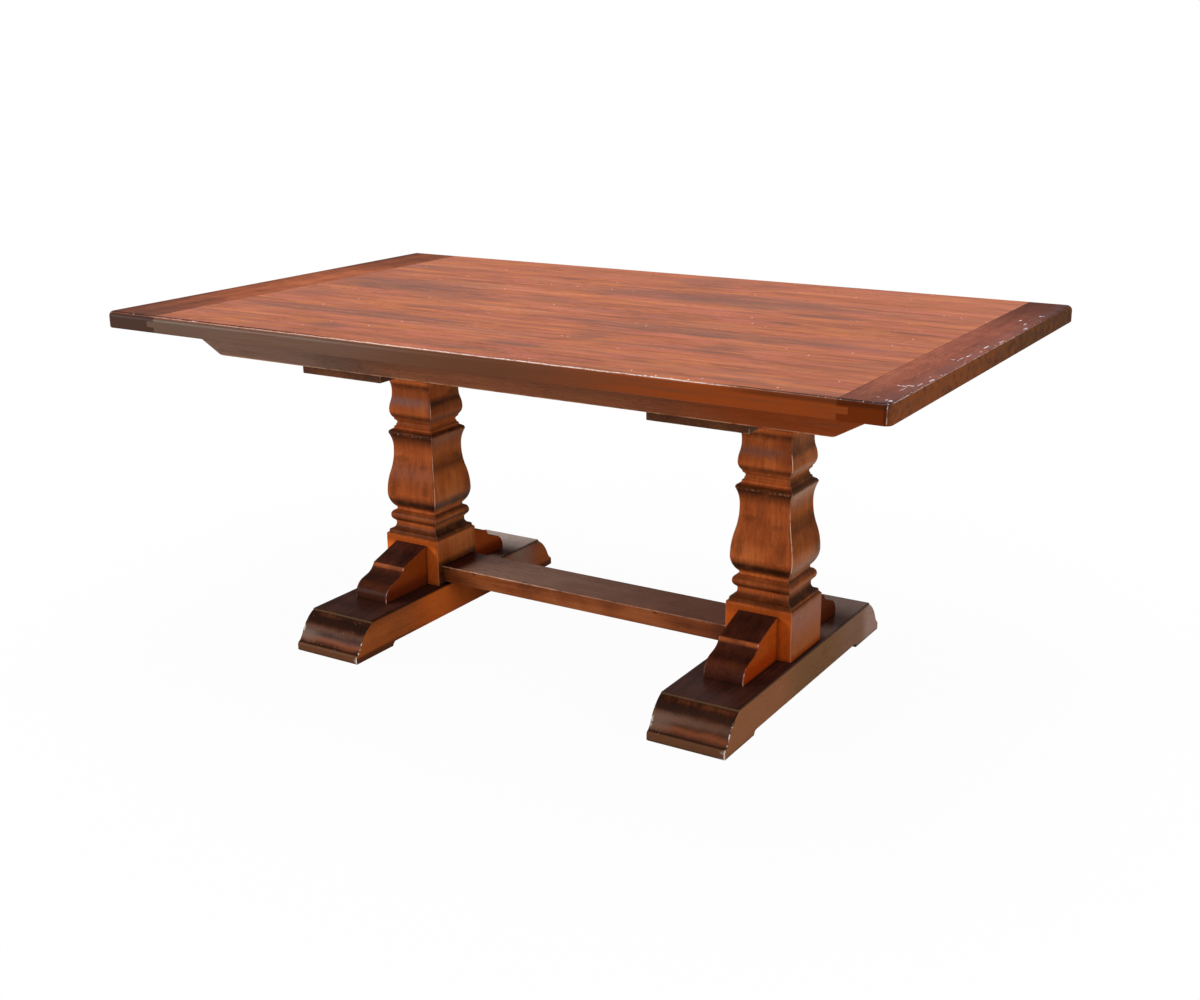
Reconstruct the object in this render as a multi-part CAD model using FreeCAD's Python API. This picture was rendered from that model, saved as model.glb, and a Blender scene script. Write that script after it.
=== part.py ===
import FreeCAD, Part
import os
from math import atan2, cos, hypot, pi, sin, sqrt, tan

V = FreeCAD.Vector

# A dining table on two pedestals: a plank top with end boards, two long rails under it,
# and a square shaped post, foot and four brackets on each side, joined by a low stretcher.
# Sizes are in millimetres. X runs along the table, the front is at -Y, and Z is up.

# Whole table
table_length = 1770.0
table_width = 1067.0
table_height = 762.0

# Tabletop
top_thickness = 36.0
plank_count = 7
end_board_left_width = 142.0
end_board_right_width = 92.0
tongue_length = 20.0
tongue_thickness = 12.0
top_edge_radius = 11.0
under_edge_radius = 3.0
plan_corner_radius = 14.0
peg_diameter = 8.0
peg_bite = 3.0
planks_per_peg = 2

# Long rails under the top
rail_inset = 165.0
rail_depth = 74.0
rail_thickness = 32.0
rail_end_inset = 51.0
rail_end_height = 12.0
rail_bevel_length = 112.0
rail_corner_radius = 30.0
rail_edge_radius = 2.0

# Cross rails between the long rails
cross_rail_thickness = 30.0
cross_rail_setback = 6.0
cross_tenon_length = 12.0
cross_tenon_thickness = 12.0
cross_tenon_shoulder = 12.0

# Wooden buttons that hold the top to the long rails
button_length = 38.0
button_width = 28.0
button_thickness = 22.0
button_tongue_length = 9.0
button_gap = 3.0
button_tongue_thickness = 9.0
button_slot_play = 6.0
button_end_distance = 234.0
buttons_per_rail = 4
button_screw_diameter = 4.5
button_screw_head_diameter = 9.0
button_screw_head_height = 3.0
button_screw_reach = 20.0

# Pedestal plates, one under each pair of cross rails
plate_end_inset = 349.0
plate_width = 215.0
plate_length = 626.0
plate_thickness = 30.0
plate_edge_radius = 2.0
plate_bolt_diameter = 8.0
plate_bolt_head_width = 13.0
plate_bolt_head_height = 5.5
plate_bolt_reach = 22.0
plate_bolt_spacing = 420.0
washer_diameter = 24.0
washer_thickness = 2.0
insert_diameter = 14.0
insert_length = 25.0
insert_hole_depth = 28.0

# Posts
pedestal_end_inset = 434.0
plinth_width = 152.0
plinth_height = 109.0
plinth_edge_ease = 2.5
belly_width = 142.6
post_arris = 2.2
post_tenon_width = 60.0
foot_tenon_length = 10.0
plate_tenon_length = 18.0
post_screw_spacing = 80.0
post_screw_diameter = 6.0
post_screw_head_diameter = 12.0
post_screw_head_height = 4.0
post_screw_reach = 60.0

# Outline of the shaft above the plinth: heights as shares of the shaft's height,
# half widths as shares of half the belly's width
base_fillet_shares = (0.012, 1.000)
base_cove_start_shares = (0.018, 0.985)
base_cove_end_shares = (0.049, 0.820)
base_cove_top_shares = (0.063, 0.820)
base_bead_start_shares = (0.073, 0.865)
base_bead_peak_shares = (0.099, 0.945)
base_bead_end_shares = (0.125, 0.865)
base_neck_start_shares = (0.131, 0.790)
base_neck_end_shares = (0.145, 0.790)
belly_peak_shares = (0.228, 1.000)
waist_start_shares = (0.473, 0.808)
waist_end_shares = (0.483, 0.808)
lip_start_shares = (0.560, 0.895)
lip_peak_shares = (0.570, 0.912)
lip_end_shares = (0.581, 0.880)
lip_slope_shares = (0.592, 0.775)
collar_top_shares = (0.600, 0.775)
collar_slope_shares = (0.608, 0.722)
neck_start_shares = (0.614, 0.722)
neck_middle_shares = (0.624, 0.697)
neck_end_shares = (0.634, 0.722)
cap_fillet_start_shares = (0.641, 0.765)
cap_fillet_end_shares = (0.650, 0.775)
cap_peak_shares = (0.692, 0.872)
cap_waist_shares = (0.790, 0.790)
cap_waist_end_shares = (0.804, 0.790)
cap_flare_shares = (0.868, 0.872)
cap_quirk_shares = (0.874, 0.860)
cap_block_shares = (0.874, 0.930)
ogee_share = 0.5

# Feet
foot_width = 171.0
foot_length = 776.0
foot_height = 84.0
foot_edge_radius = 4.0
foot_end_run = 57.0
foot_end_fillet = 5.0
foot_end_ledge = 2.0
foot_sweep_turn_shares = (0.74, 0.67)
foot_sweep_bow_share = 0.075
foot_hollow_bow_share = 0.055
foot_nose_height = 21.0
foot_nose_step = 4.0
foot_nose_ledge = 1.5
foot_nose_round = 7.0
foot_sole_ease = 3.0
foot_pad_length = 126.0
foot_relief_height = 11.0
foot_lag_diameter = 10.0
foot_lag_head_width = 17.0
foot_lag_head_height = 7.0
foot_lag_reach = 50.0
foot_lag_spacing = 30.0
foot_lag_pocket_depth = 12.0

# Brackets on the feet, before and behind each plinth
bracket_width = 89.0
bracket_length = 154.0
bracket_height = 94.0
bracket_crease_shares = (0.56, 0.70)
bracket_hollow_shares = (0.635, 0.545)
bracket_turn_shares = (0.72, 0.475)
bracket_brow_shares = (0.84, 0.42)
bracket_nose_shares = (1.00, 0.07)
bracket_dowel_diameter = 8.0
bracket_dowel_length = 50.0
bracket_dowel_height_share = 0.55
bracket_dowel_spacing = 50.0
bracket_screw_diameter = 5.0
bracket_screw_head_diameter = 10.0
bracket_screw_head_height = 3.5
bracket_screw_reach = 34.0
bracket_screw_shares = (0.25, 0.62)

# Stretcher between the plinths
stretcher_width = 120.0
stretcher_thickness = 38.0
stretcher_lift = 7.5
stretcher_edge_radius = 2.5
stretcher_tenon_length = 25.0
stretcher_tenon_thickness = 18.0
stretcher_tenon_shoulder = 14.0
stretcher_bolt_diameter = 8.0
stretcher_bolt_spacing = 56.0
stretcher_bolt_bite = 40.0
stretcher_nut_width = 13.0
stretcher_nut_height = 7.0
stretcher_washer_diameter = 18.0
stretcher_bolt_tail = 6.0
pocket_distance = 48.0
pocket_length = 34.0
pocket_width = 30.0
pocket_roof = 8.0

# Flat sides of the small fasteners' round parts and of their holes
round_sides = 8

# Fits
joint_clearance = 0.2
hole_clearance = 0.2
overrun = 5.0
same_point = 0.001

# Levels worked out from the sizes above
underside_z = table_height - top_thickness
rail_bottom_z = underside_z - rail_depth
plate_bottom_z = rail_bottom_z - plate_thickness
plinth_top_z = foot_height + plinth_height
shaft_height = plate_bottom_z - plinth_top_z
rail_face_y = table_width / 2 - rail_inset
rail_back_y = rail_face_y - rail_thickness
rail_half_length = table_length / 2 - rail_end_inset
plate_outer_place = table_length / 2 - plate_end_inset
plate_inner_place = plate_outer_place - plate_width
pedestal_place = table_length / 2 - pedestal_end_inset
plinth_half = plinth_width / 2
belly_half = belly_width / 2
stretcher_bottom_z = foot_height + stretcher_lift
stretcher_top_z = stretcher_bottom_z + stretcher_thickness
stretcher_middle_z = stretcher_bottom_z + stretcher_thickness / 2


def block(x0, x1, y0, y1, z0, z1):
    """Rectangular solid between two corners."""
    return Part.makeBox(x1 - x0, y1 - y0, z1 - z0, V(x0, y0, z0))


def prism(sides, width, start, end):
    """Bar with a number of equal sides, of a given width across its flats."""
    axis = end - start
    turn = FreeCAD.Rotation(V(0, 0, 1), axis)
    radius = width / 2 / cos(pi / sides)
    corners = []
    for corner in range(sides + 1):
        angle = 2 * pi * corner / sides
        corners.append(start + turn.multVec(V(radius * cos(angle), radius * sin(angle), 0)))
    return Part.Face(Part.makePolygon(corners)).extrude(axis)


def rod(diameter, start, end):
    """Straight shank, pin or hole, drawn with a few flat sides."""
    return prism(round_sides, diameter, start, end)


def hexagon(width, start, end):
    """Six-sided bar of a given width across flats."""
    return prism(6, width, start, end)


def wood_screw(start, direction, diameter, head_diameter, head_height, length, grown):
    """Screw from the flat of its sunk head to its tip, grown a little for its hole."""
    head = rod(head_diameter + 2 * grown, start, start + direction * head_height)
    shank = rod(diameter + 2 * grown, start, start + direction * (length + grown))
    return head.fuse(shank).removeSplitter()


def washer(outer_diameter, inner_diameter, start, end):
    """Flat ring from one point to another."""
    return rod(outer_diameter, start, end).cut(rod(inner_diameter, start, end))


def side_point(u, v):
    """Point of an outline drawn looking along the table: u is Y and v is Z."""
    return V(0, u, v)


def front_point(u, v):
    """Point of an outline drawn looking from the front: u is X and v is Z."""
    return V(u, 0, v)


def plan_point(u, v):
    """Point of an outline drawn from above."""
    return V(u, v, 0)


def outline_face(place, start, steps):
    """Flat face inside an outline. A step is (end,) for a straight run or (middle, end) for an arc."""
    edges = []
    first = place(*start)
    here = first
    for step in steps:
        end = place(*step[-1])
        if len(step) == 1:
            edges.append(Part.LineSegment(here, end).toShape())
        else:
            edges.append(Part.Arc(here, place(*step[0]), end).toShape())
        here = end
    if here.distanceToPoint(first) > same_point:
        edges.append(Part.LineSegment(here, first).toShape())
    return Part.Face(Part.Wire(edges))


def corner_arc(corner, toward_start, toward_end, radius):
    """Straight run to a rounded square corner and the quarter round itself."""
    start = tuple(c + radius * t for c, t in zip(corner, toward_start))
    end = tuple(c + radius * t for c, t in zip(corner, toward_end))
    inset = radius * (1 - 1 / sqrt(2))
    middle = tuple(c + inset * (s + e) for c, s, e in zip(corner, toward_start, toward_end))
    return [(start,), (middle, end)]


def rounded_rectangle(place, u0, u1, v0, v1, low_radius, high_radius):
    """Face of a rectangle with one radius at its two low corners and one at its two high corners."""
    steps = corner_arc((u1, v0), (-1, 0), (0, 1), low_radius)
    steps += corner_arc((u1, v1), (0, -1), (-1, 0), high_radius)
    steps += corner_arc((u0, v1), (1, 0), (0, -1), high_radius)
    steps += corner_arc((u0, v0), (0, 1), (1, 0), low_radius)
    return outline_face(place, (u0 + low_radius, v0), steps)


def bowed(start, end, rise):
    """Arc between two points, its middle standing off the straight line by a rise to the left."""
    run = (end[0] - start[0], end[1] - start[1])
    length = hypot(*run)
    middle = ((start[0] + end[0]) / 2 - run[1] / length * rise,
              (start[1] + end[1]) / 2 + run[0] / length * rise)
    return (middle, end)


def upright_middle(upright, other):
    """Middle of the arc that leaves one point straight up or down and meets the other."""
    across = other[0] - upright[0]
    along = other[1] - upright[1]
    radius = (across * across + along * along) / (2 * across)
    centre = (upright[0] + radius, upright[1])
    spoke = (upright[0] + other[0] - 2 * centre[0], along)
    reach = abs(radius) / hypot(*spoke)
    return (centre[0] + spoke[0] * reach, centre[1] + spoke[1] * reach)


def from_upright(start, end):
    """Arc that leaves its start straight up or down."""
    return (upright_middle(start, end), end)


def to_upright(start, end):
    """Arc that reaches its end straight up or down."""
    return (upright_middle(end, start), end)


def ogee(start, end):
    """Two arcs, upright at both ends, that turn over on the line between them."""
    turn = (start[0] + (end[0] - start[0]) * ogee_share, start[1] + (end[1] - start[1]) * ogee_share)
    return [from_upright(start, turn), to_upright(turn, end)]


def both_sides(start, steps):
    """Steps of the right half of an outline followed by its mirror image, back to the start."""
    ends = [start] + [step[-1] for step in steps]
    mirror = []
    if ends[-1][0] > 0:
        mirror.append(((-ends[-1][0], ends[-1][1]),))
    for step, here in zip(reversed(steps), reversed(ends[:-1])):
        middles = tuple((-u, v) for u, v in step[:-1])
        mirror.append(middles + ((-here[0], here[1]),))
    return steps + mirror


def swept(face, travel, shift):
    """Prism of a face along a travel, after moving the face by a shift."""
    solid = face.extrude(travel)
    solid.translate(shift)
    return solid


def mirrored(shape):
    """The same shape on the other side of the table's middle, left for right."""
    return shape.mirror(V(0, 0, 0), V(1, 0, 0))


def turned_back(shape):
    """The same shape on the other side of the table's middle, front for back."""
    return shape.mirror(V(0, 0, 0), V(0, 1, 0))


def eased_bar(x0, x1, y0, y1, z0, z1, low_radius, high_radius):
    """Bar along the table with rounded long edges."""
    face = rounded_rectangle(side_point, y0, y1, z0, z1, low_radius, high_radius)
    return swept(face, V(x1 - x0, 0, 0), V(x0, 0, 0))


def eased_cross_bar(x0, x1, y0, y1, z0, z1, low_radius, high_radius):
    """Bar across the table with rounded long edges."""
    face = rounded_rectangle(front_point, x0, x1, z0, z1, low_radius, high_radius)
    return swept(face, V(0, y1 - y0, 0), V(0, y0, 0))


# Tabletop: planks with a tongue at each end, grooved end boards and their pegs
seam_left_x = end_board_left_width - table_length / 2
seam_right_x = table_length / 2 - end_board_right_width
plank_width = table_width / plank_count
tongue_bottom_z = table_height - (top_thickness + tongue_thickness) / 2
tongue_top_z = tongue_bottom_z + tongue_thickness


def plank_front_y(index):
    return plank_width * index - table_width / 2


def peg_places():
    """Middle of each end-board peg: seen from above, on every second plank."""
    places = []
    for index in range(0, plank_count, planks_per_peg):
        y = plank_front_y(index) + plank_width / 2
        places.append((seam_left_x - tongue_length / 2, y))
        places.append((seam_right_x + tongue_length / 2, y))
    return places


def peg_set(diameter, top_z):
    return [rod(diameter, V(x, y, underside_z), V(x, y, top_z)) for x, y in peg_places()]


def level_edges(solid, level):
    """Edges of a solid that lie flat at a level."""
    return [edge for edge in solid.Edges
            if abs(edge.BoundBox.ZMin - level) < same_point and abs(edge.BoundBox.ZMax - level) < same_point]


def make_top_blank():
    """The glued-up top, rounded along its edges and round its corners, before it is divided into boards."""
    half_length = table_length / 2
    half_width = table_width / 2
    plan = rounded_rectangle(plan_point, -half_length, half_length, -half_width, half_width,
                             plan_corner_radius, plan_corner_radius)
    slab = swept(plan, V(0, 0, top_thickness), V(0, 0, underside_z))
    slab = slab.makeFillet(top_edge_radius, level_edges(slab, table_height))
    return slab.makeFillet(under_edge_radius, level_edges(slab, underside_z))


def button_screw_places():
    """Where the buttons' screws enter the underside of the top, spread evenly along each long rail."""
    last_button_x = rail_half_length - button_end_distance
    places = []
    for sign in (-1, 1):
        for index in range(buttons_per_rail):
            x = (2 * index / (buttons_per_rail - 1) - 1) * last_button_x
            places.append((x, sign * (rail_back_y - button_gap - button_length / 2)))
    return places


def button_screws(grown):
    """Screws through the buttons into the top, or their holes when grown."""
    length = button_thickness + button_screw_reach
    return [wood_screw(V(x, y, underside_z - button_thickness), V(0, 0, 1), button_screw_diameter,
                       button_screw_head_diameter, button_screw_head_height, length, grown)
            for x, y in button_screw_places()]


def make_planks(blank):
    """Field planks with their tongues, from front to back."""
    planks = []
    for index in range(plank_count):
        y0 = plank_front_y(index)
        y1 = y0 + plank_width
        board = block(seam_left_x, seam_right_x, y0, y1, underside_z, table_height)
        tongue = block(seam_left_x - tongue_length, seam_right_x + tongue_length, y0, y1,
                       tongue_bottom_z, tongue_top_z)
        plank = blank.common(board.fuse(tongue))
        plank = plank.cut(peg_set(peg_diameter + hole_clearance, tongue_top_z + peg_bite))
        plank = plank.cut(button_screws(hole_clearance))
        planks.append(plank.removeSplitter())
    return planks


def make_end_board(blank, side):
    """Board across one end of the top, grooved for the planks' tongues."""
    seam_x = seam_left_x if side < 0 else seam_right_x
    end_x = side * table_length / 2
    region = block(min(seam_x, end_x), max(seam_x, end_x), -table_width / 2, table_width / 2,
                   underside_z, table_height)
    groove_end = seam_x + side * (tongue_length + joint_clearance)
    groove = block(min(seam_x, groove_end), max(seam_x, groove_end),
                   -table_width / 2, table_width / 2, tongue_bottom_z, tongue_top_z)
    holes = peg_set(peg_diameter + hole_clearance, tongue_top_z + peg_bite)
    return blank.common(region).cut(groove).cut(holes).removeSplitter()


# Long rails and the cross rails between them
cross_rail_inner_x = plate_inner_place + cross_rail_setback
cross_rail_outer_x = plate_outer_place - cross_rail_setback - cross_rail_thickness


def cross_rail_starts():
    """Inner X face of each cross rail, from left to right."""
    right = [cross_rail_inner_x, cross_rail_outer_x]
    left = [-x - cross_rail_thickness for x in right]
    return sorted(left + right)


def cross_tenon(x0, grown):
    """Both stub tenons of a cross rail, as one bar, grown a little for its mortises."""
    side = (cross_rail_thickness - cross_tenon_thickness) / 2 - grown
    reach = rail_back_y + cross_tenon_length + grown
    return block(x0 + side, x0 + cross_rail_thickness - side, -reach, reach,
                 rail_bottom_z + cross_tenon_shoulder - grown,
                 underside_z - cross_tenon_shoulder + grown)


def button_slot(x, sign):
    """Slot in a long rail that takes a button's tongue and lets the top move across the grain."""
    half = button_width / 2 + button_slot_play
    depth = button_tongue_length + joint_clearance
    y0 = sign * rail_back_y
    y1 = sign * (rail_back_y + depth)
    top_z = underside_z - button_thickness + button_tongue_thickness + joint_clearance
    return block(x - half, x + half, min(y0, y1), max(y0, y1),
                 underside_z - button_thickness - joint_clearance, top_z)


def make_long_rail(sign):
    """Long rail with bevelled ends, rounded at the lower corners."""
    end_low_x = rail_half_length - rail_bevel_length
    end_rise_z = underside_z - rail_end_height
    bevel_rise = end_rise_z - rail_bottom_z
    bevel_slope = hypot(rail_bevel_length, bevel_rise)
    half_turn = atan2(bevel_rise, rail_bevel_length) / 2
    tangent = rail_corner_radius * tan(half_turn)
    near = (end_low_x - tangent, rail_bottom_z)
    far = (end_low_x + tangent * rail_bevel_length / bevel_slope,
           rail_bottom_z + tangent * bevel_rise / bevel_slope)
    middle = (near[0] + rail_corner_radius * sin(half_turn),
              rail_bottom_z + rail_corner_radius * (1 - cos(half_turn)))
    steps = [(near,), (middle, far), ((rail_half_length, end_rise_z),), ((rail_half_length, underside_z),),
             ((-rail_half_length, underside_z),), ((-rail_half_length, end_rise_z),),
             ((-far[0], far[1]),), ((-middle[0], middle[1]), (-near[0], near[1]))]
    outline = outline_face(front_point, (-near[0], near[1]), steps)
    board = swept(outline, V(0, rail_thickness, 0), V(0, rail_back_y, 0))
    section = eased_bar(-rail_half_length, rail_half_length, rail_back_y, rail_face_y,
                        rail_bottom_z, underside_z + overrun, rail_edge_radius, rail_edge_radius)
    rail = board.common(section)
    rail = rail.cut([cross_tenon(x0, joint_clearance) for x0 in cross_rail_starts()])
    rail = rail.cut([button_slot(x, 1) for x, y in button_screw_places() if y > 0])
    if sign < 0:
        rail = turned_back(rail)
    return rail.removeSplitter()


def make_cross_rail(x0):
    """Short rail between the long rails, over one edge of a pedestal plate."""
    x1 = x0 + cross_rail_thickness
    bar = block(x0, x1, -rail_back_y, rail_back_y, rail_bottom_z, underside_z)
    middle_x = (x0 + x1) / 2
    holes = []
    for y in (-plate_bolt_spacing / 2, plate_bolt_spacing / 2):
        holes.append(rod(insert_diameter, V(middle_x, y, rail_bottom_z),
                         V(middle_x, y, rail_bottom_z + insert_hole_depth)))
    return bar.fuse(cross_tenon(x0, 0)).cut(holes).removeSplitter()


def make_buttons():
    """Wooden buttons, each with its tongue in a slot of the nearest long rail."""
    screw_holes = button_screws(hole_clearance)
    buttons = []
    for (x, y), hole in zip(button_screw_places(), screw_holes):
        sign = 1 if y > 0 else -1
        x0 = x - button_width / 2
        x1 = x + button_width / 2
        bottom_z = underside_z - button_thickness
        body = block(x0, x1, y - button_length / 2, y + button_length / 2, bottom_z, underside_z)
        tip_y = sign * (rail_back_y + button_tongue_length)
        tongue = block(x0, x1, min(y, tip_y), max(y, tip_y), bottom_z, bottom_z + button_tongue_thickness)
        buttons.append(body.fuse(tongue).cut(hole).removeSplitter())
    return buttons


# Pedestal plates, their bolts and the threaded inserts in the cross rails
def plate_bolt_places():
    places = []
    for x0 in cross_rail_starts():
        for y in (-plate_bolt_spacing / 2, plate_bolt_spacing / 2):
            places.append((x0 + cross_rail_thickness / 2, y))
    return places


def make_plate_bolts():
    head_top_z = plate_bottom_z - washer_thickness
    bolts = []
    for x, y in plate_bolt_places():
        head = hexagon(plate_bolt_head_width, V(x, y, head_top_z - plate_bolt_head_height),
                       V(x, y, head_top_z))
        shank = rod(plate_bolt_diameter, V(x, y, head_top_z), V(x, y, rail_bottom_z + plate_bolt_reach))
        bolts.append(head.fuse(shank))
    return bolts


def make_plate_washers():
    return [washer(washer_diameter, plate_bolt_diameter + hole_clearance,
                   V(x, y, plate_bottom_z - washer_thickness), V(x, y, plate_bottom_z))
            for x, y in plate_bolt_places()]


def make_inserts():
    return [washer(insert_diameter, plate_bolt_diameter + hole_clearance,
                   V(x, y, rail_bottom_z), V(x, y, rail_bottom_z + insert_length))
            for x, y in plate_bolt_places()]


def post_screws(grown):
    """Screws down through the right plate into its post, or their holes when grown."""
    half = post_screw_spacing / 2
    screws = []
    for x in (pedestal_place - half, pedestal_place + half):
        for y in (-half, half):
            screws.append(wood_screw(V(x, y, rail_bottom_z), V(0, 0, -1), post_screw_diameter,
                                     post_screw_head_diameter, post_screw_head_height,
                                     plate_thickness + post_screw_reach, grown))
    return screws


def plate_tenon(grown):
    half = post_tenon_width / 2 + grown
    return block(pedestal_place - half, pedestal_place + half, -half, half,
                 plate_bottom_z - grown, plate_bottom_z + plate_tenon_length + grown)


def make_plate():
    """Plate across the top of the right post."""
    plate = eased_cross_bar(plate_inner_place, plate_outer_place, -plate_length / 2, plate_length / 2,
                            plate_bottom_z, rail_bottom_z, plate_edge_radius, plate_edge_radius)
    holes = [rod(plate_bolt_diameter + hole_clearance, V(x, y, plate_bottom_z), V(x, y, rail_bottom_z))
             for x, y in plate_bolt_places() if x > 0]
    return plate.cut(holes + post_screws(hole_clearance) + [plate_tenon(joint_clearance)]).removeSplitter()


# Posts: one profile swept four ways and crossed, with a tenon at each end
def shaft_point(shares):
    """Point of the shaft's outline from its shares of height and half width."""
    return (shares[1] * belly_half, plinth_top_z + shares[0] * shaft_height)


def post_outline():
    """Right half of the post's outline, from the foot up to the plate."""
    start = (plinth_half, foot_height)
    first_fillet = shaft_point(base_fillet_shares)
    steps = [((plinth_half, plinth_top_z - plinth_edge_ease),),
             ((plinth_half - plinth_edge_ease, plinth_top_z),),
             ((first_fillet[0], plinth_top_z),),
             (first_fillet,),
             (shaft_point(base_cove_start_shares),)]
    steps.append(to_upright(steps[-1][-1], shaft_point(base_cove_end_shares)))
    steps += [(shaft_point(base_cove_top_shares),),
              (shaft_point(base_bead_start_shares),),
              (shaft_point(base_bead_peak_shares), shaft_point(base_bead_end_shares)),
              (shaft_point(base_neck_start_shares),),
              (shaft_point(base_neck_end_shares),)]
    steps.append(to_upright(steps[-1][-1], shaft_point(belly_peak_shares)))
    steps += ogee(shaft_point(belly_peak_shares), shaft_point(waist_start_shares))
    steps.append((shaft_point(waist_end_shares),))
    steps.append(from_upright(steps[-1][-1], shaft_point(lip_start_shares)))
    steps += [(shaft_point(lip_peak_shares), shaft_point(lip_end_shares)),
              (shaft_point(lip_slope_shares),),
              (shaft_point(collar_top_shares),),
              (shaft_point(collar_slope_shares),),
              (shaft_point(neck_start_shares),),
              (shaft_point(neck_middle_shares), shaft_point(neck_end_shares)),
              (shaft_point(cap_fillet_start_shares),),
              (shaft_point(cap_fillet_end_shares),)]
    steps.append(to_upright(steps[-1][-1], shaft_point(cap_peak_shares)))
    steps += ogee(shaft_point(cap_peak_shares), shaft_point(cap_waist_shares))
    steps.append((shaft_point(cap_waist_end_shares),))
    steps.append(from_upright(steps[-1][-1], shaft_point(cap_flare_shares)))
    steps += [(shaft_point(cap_quirk_shares),),
              (shaft_point(cap_block_shares),),
              ((cap_block_shares[1] * belly_half, plate_bottom_z),)]
    return start, steps


def cornerwise(point):
    """The same point of the outline seen cornerwise, drawn in by the worn arris."""
    return (point[0] * sqrt(2) - post_arris, point[1])


def make_shaft():
    """Square shaft around the Z axis, its four faces shaped alike and its corners eased."""
    start, steps = post_outline()
    flat = outline_face(side_point, start, both_sides(start, steps))
    cross_start = cornerwise(start)
    cross_steps = [tuple(cornerwise(point) for point in step) for step in steps]
    diagonal = outline_face(side_point, cross_start, both_sides(cross_start, cross_steps))
    reach = plinth_width + overrun
    along_x = swept(flat, V(2 * reach, 0, 0), V(-reach, 0, 0))
    along_y = along_x.copy()
    along_y.rotate(V(0, 0, 0), V(0, 0, 1), 90)
    corner = swept(diagonal, V(2 * reach, 0, 0), V(-reach, 0, 0))
    one_way = corner.copy()
    one_way.rotate(V(0, 0, 0), V(0, 0, 1), 45)
    other_way = corner.copy()
    other_way.rotate(V(0, 0, 0), V(0, 0, 1), -45)
    return along_x.common(along_y).common(one_way).common(other_way)


def foot_tenon(grown):
    half = post_tenon_width / 2 + grown
    return block(pedestal_place - half, pedestal_place + half, -half, half,
                 foot_height - foot_tenon_length - grown, foot_height + grown)


def foot_lag_places():
    return [(pedestal_place, -foot_lag_spacing / 2), (pedestal_place, foot_lag_spacing / 2)]


foot_lag_seat_z = foot_relief_height + foot_lag_pocket_depth
foot_lag_tip_z = foot_height - foot_tenon_length + foot_lag_reach


def foot_lags(grown):
    """Shanks of the lag screws from the foot's pockets up into the post, or their holes when grown."""
    return [rod(foot_lag_diameter + grown, V(x, y, foot_lag_seat_z), V(x, y, foot_lag_tip_z + grown))
            for x, y in foot_lag_places()]


def stretcher_tenon(grown):
    """Both stub tenons of the stretcher, as one bar, grown a little for their mortises."""
    reach = pedestal_place - plinth_half + stretcher_tenon_length + grown
    half_width = stretcher_width / 2 - stretcher_tenon_shoulder + grown
    half_height = stretcher_tenon_thickness / 2 + grown
    return block(-reach, reach, -half_width, half_width,
                 stretcher_middle_z - half_height, stretcher_middle_z + half_height)


stretcher_shoulder_x = pedestal_place - plinth_half
pocket_wall_x = stretcher_shoulder_x - pocket_distance
stretcher_bolt_tip_x = stretcher_shoulder_x + stretcher_tenon_length + stretcher_bolt_bite
stretcher_bolt_tail_x = pocket_wall_x - washer_thickness - stretcher_nut_height - stretcher_bolt_tail


def stretcher_bolts(grown):
    """Hanger bolts of the right end, from the pockets into the post, or their holes when grown."""
    z = stretcher_middle_z
    return [rod(stretcher_bolt_diameter + grown, V(stretcher_bolt_tail_x, y, z),
                V(stretcher_bolt_tip_x + grown, y, z))
            for y in (-stretcher_bolt_spacing / 2, stretcher_bolt_spacing / 2)]


def make_post():
    """Right post: plinth, shaped shaft and cap in one piece."""
    shaft = make_shaft()
    shaft.translate(V(pedestal_place, 0, 0))
    post = shaft.fuse([foot_tenon(0), plate_tenon(0)])
    cuts = post_screws(hole_clearance) + foot_lags(hole_clearance) + stretcher_bolts(hole_clearance)
    cuts += bracket_dowels(hole_clearance) + [stretcher_tenon(joint_clearance)]
    return post.cut(cuts).removeSplitter()


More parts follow.
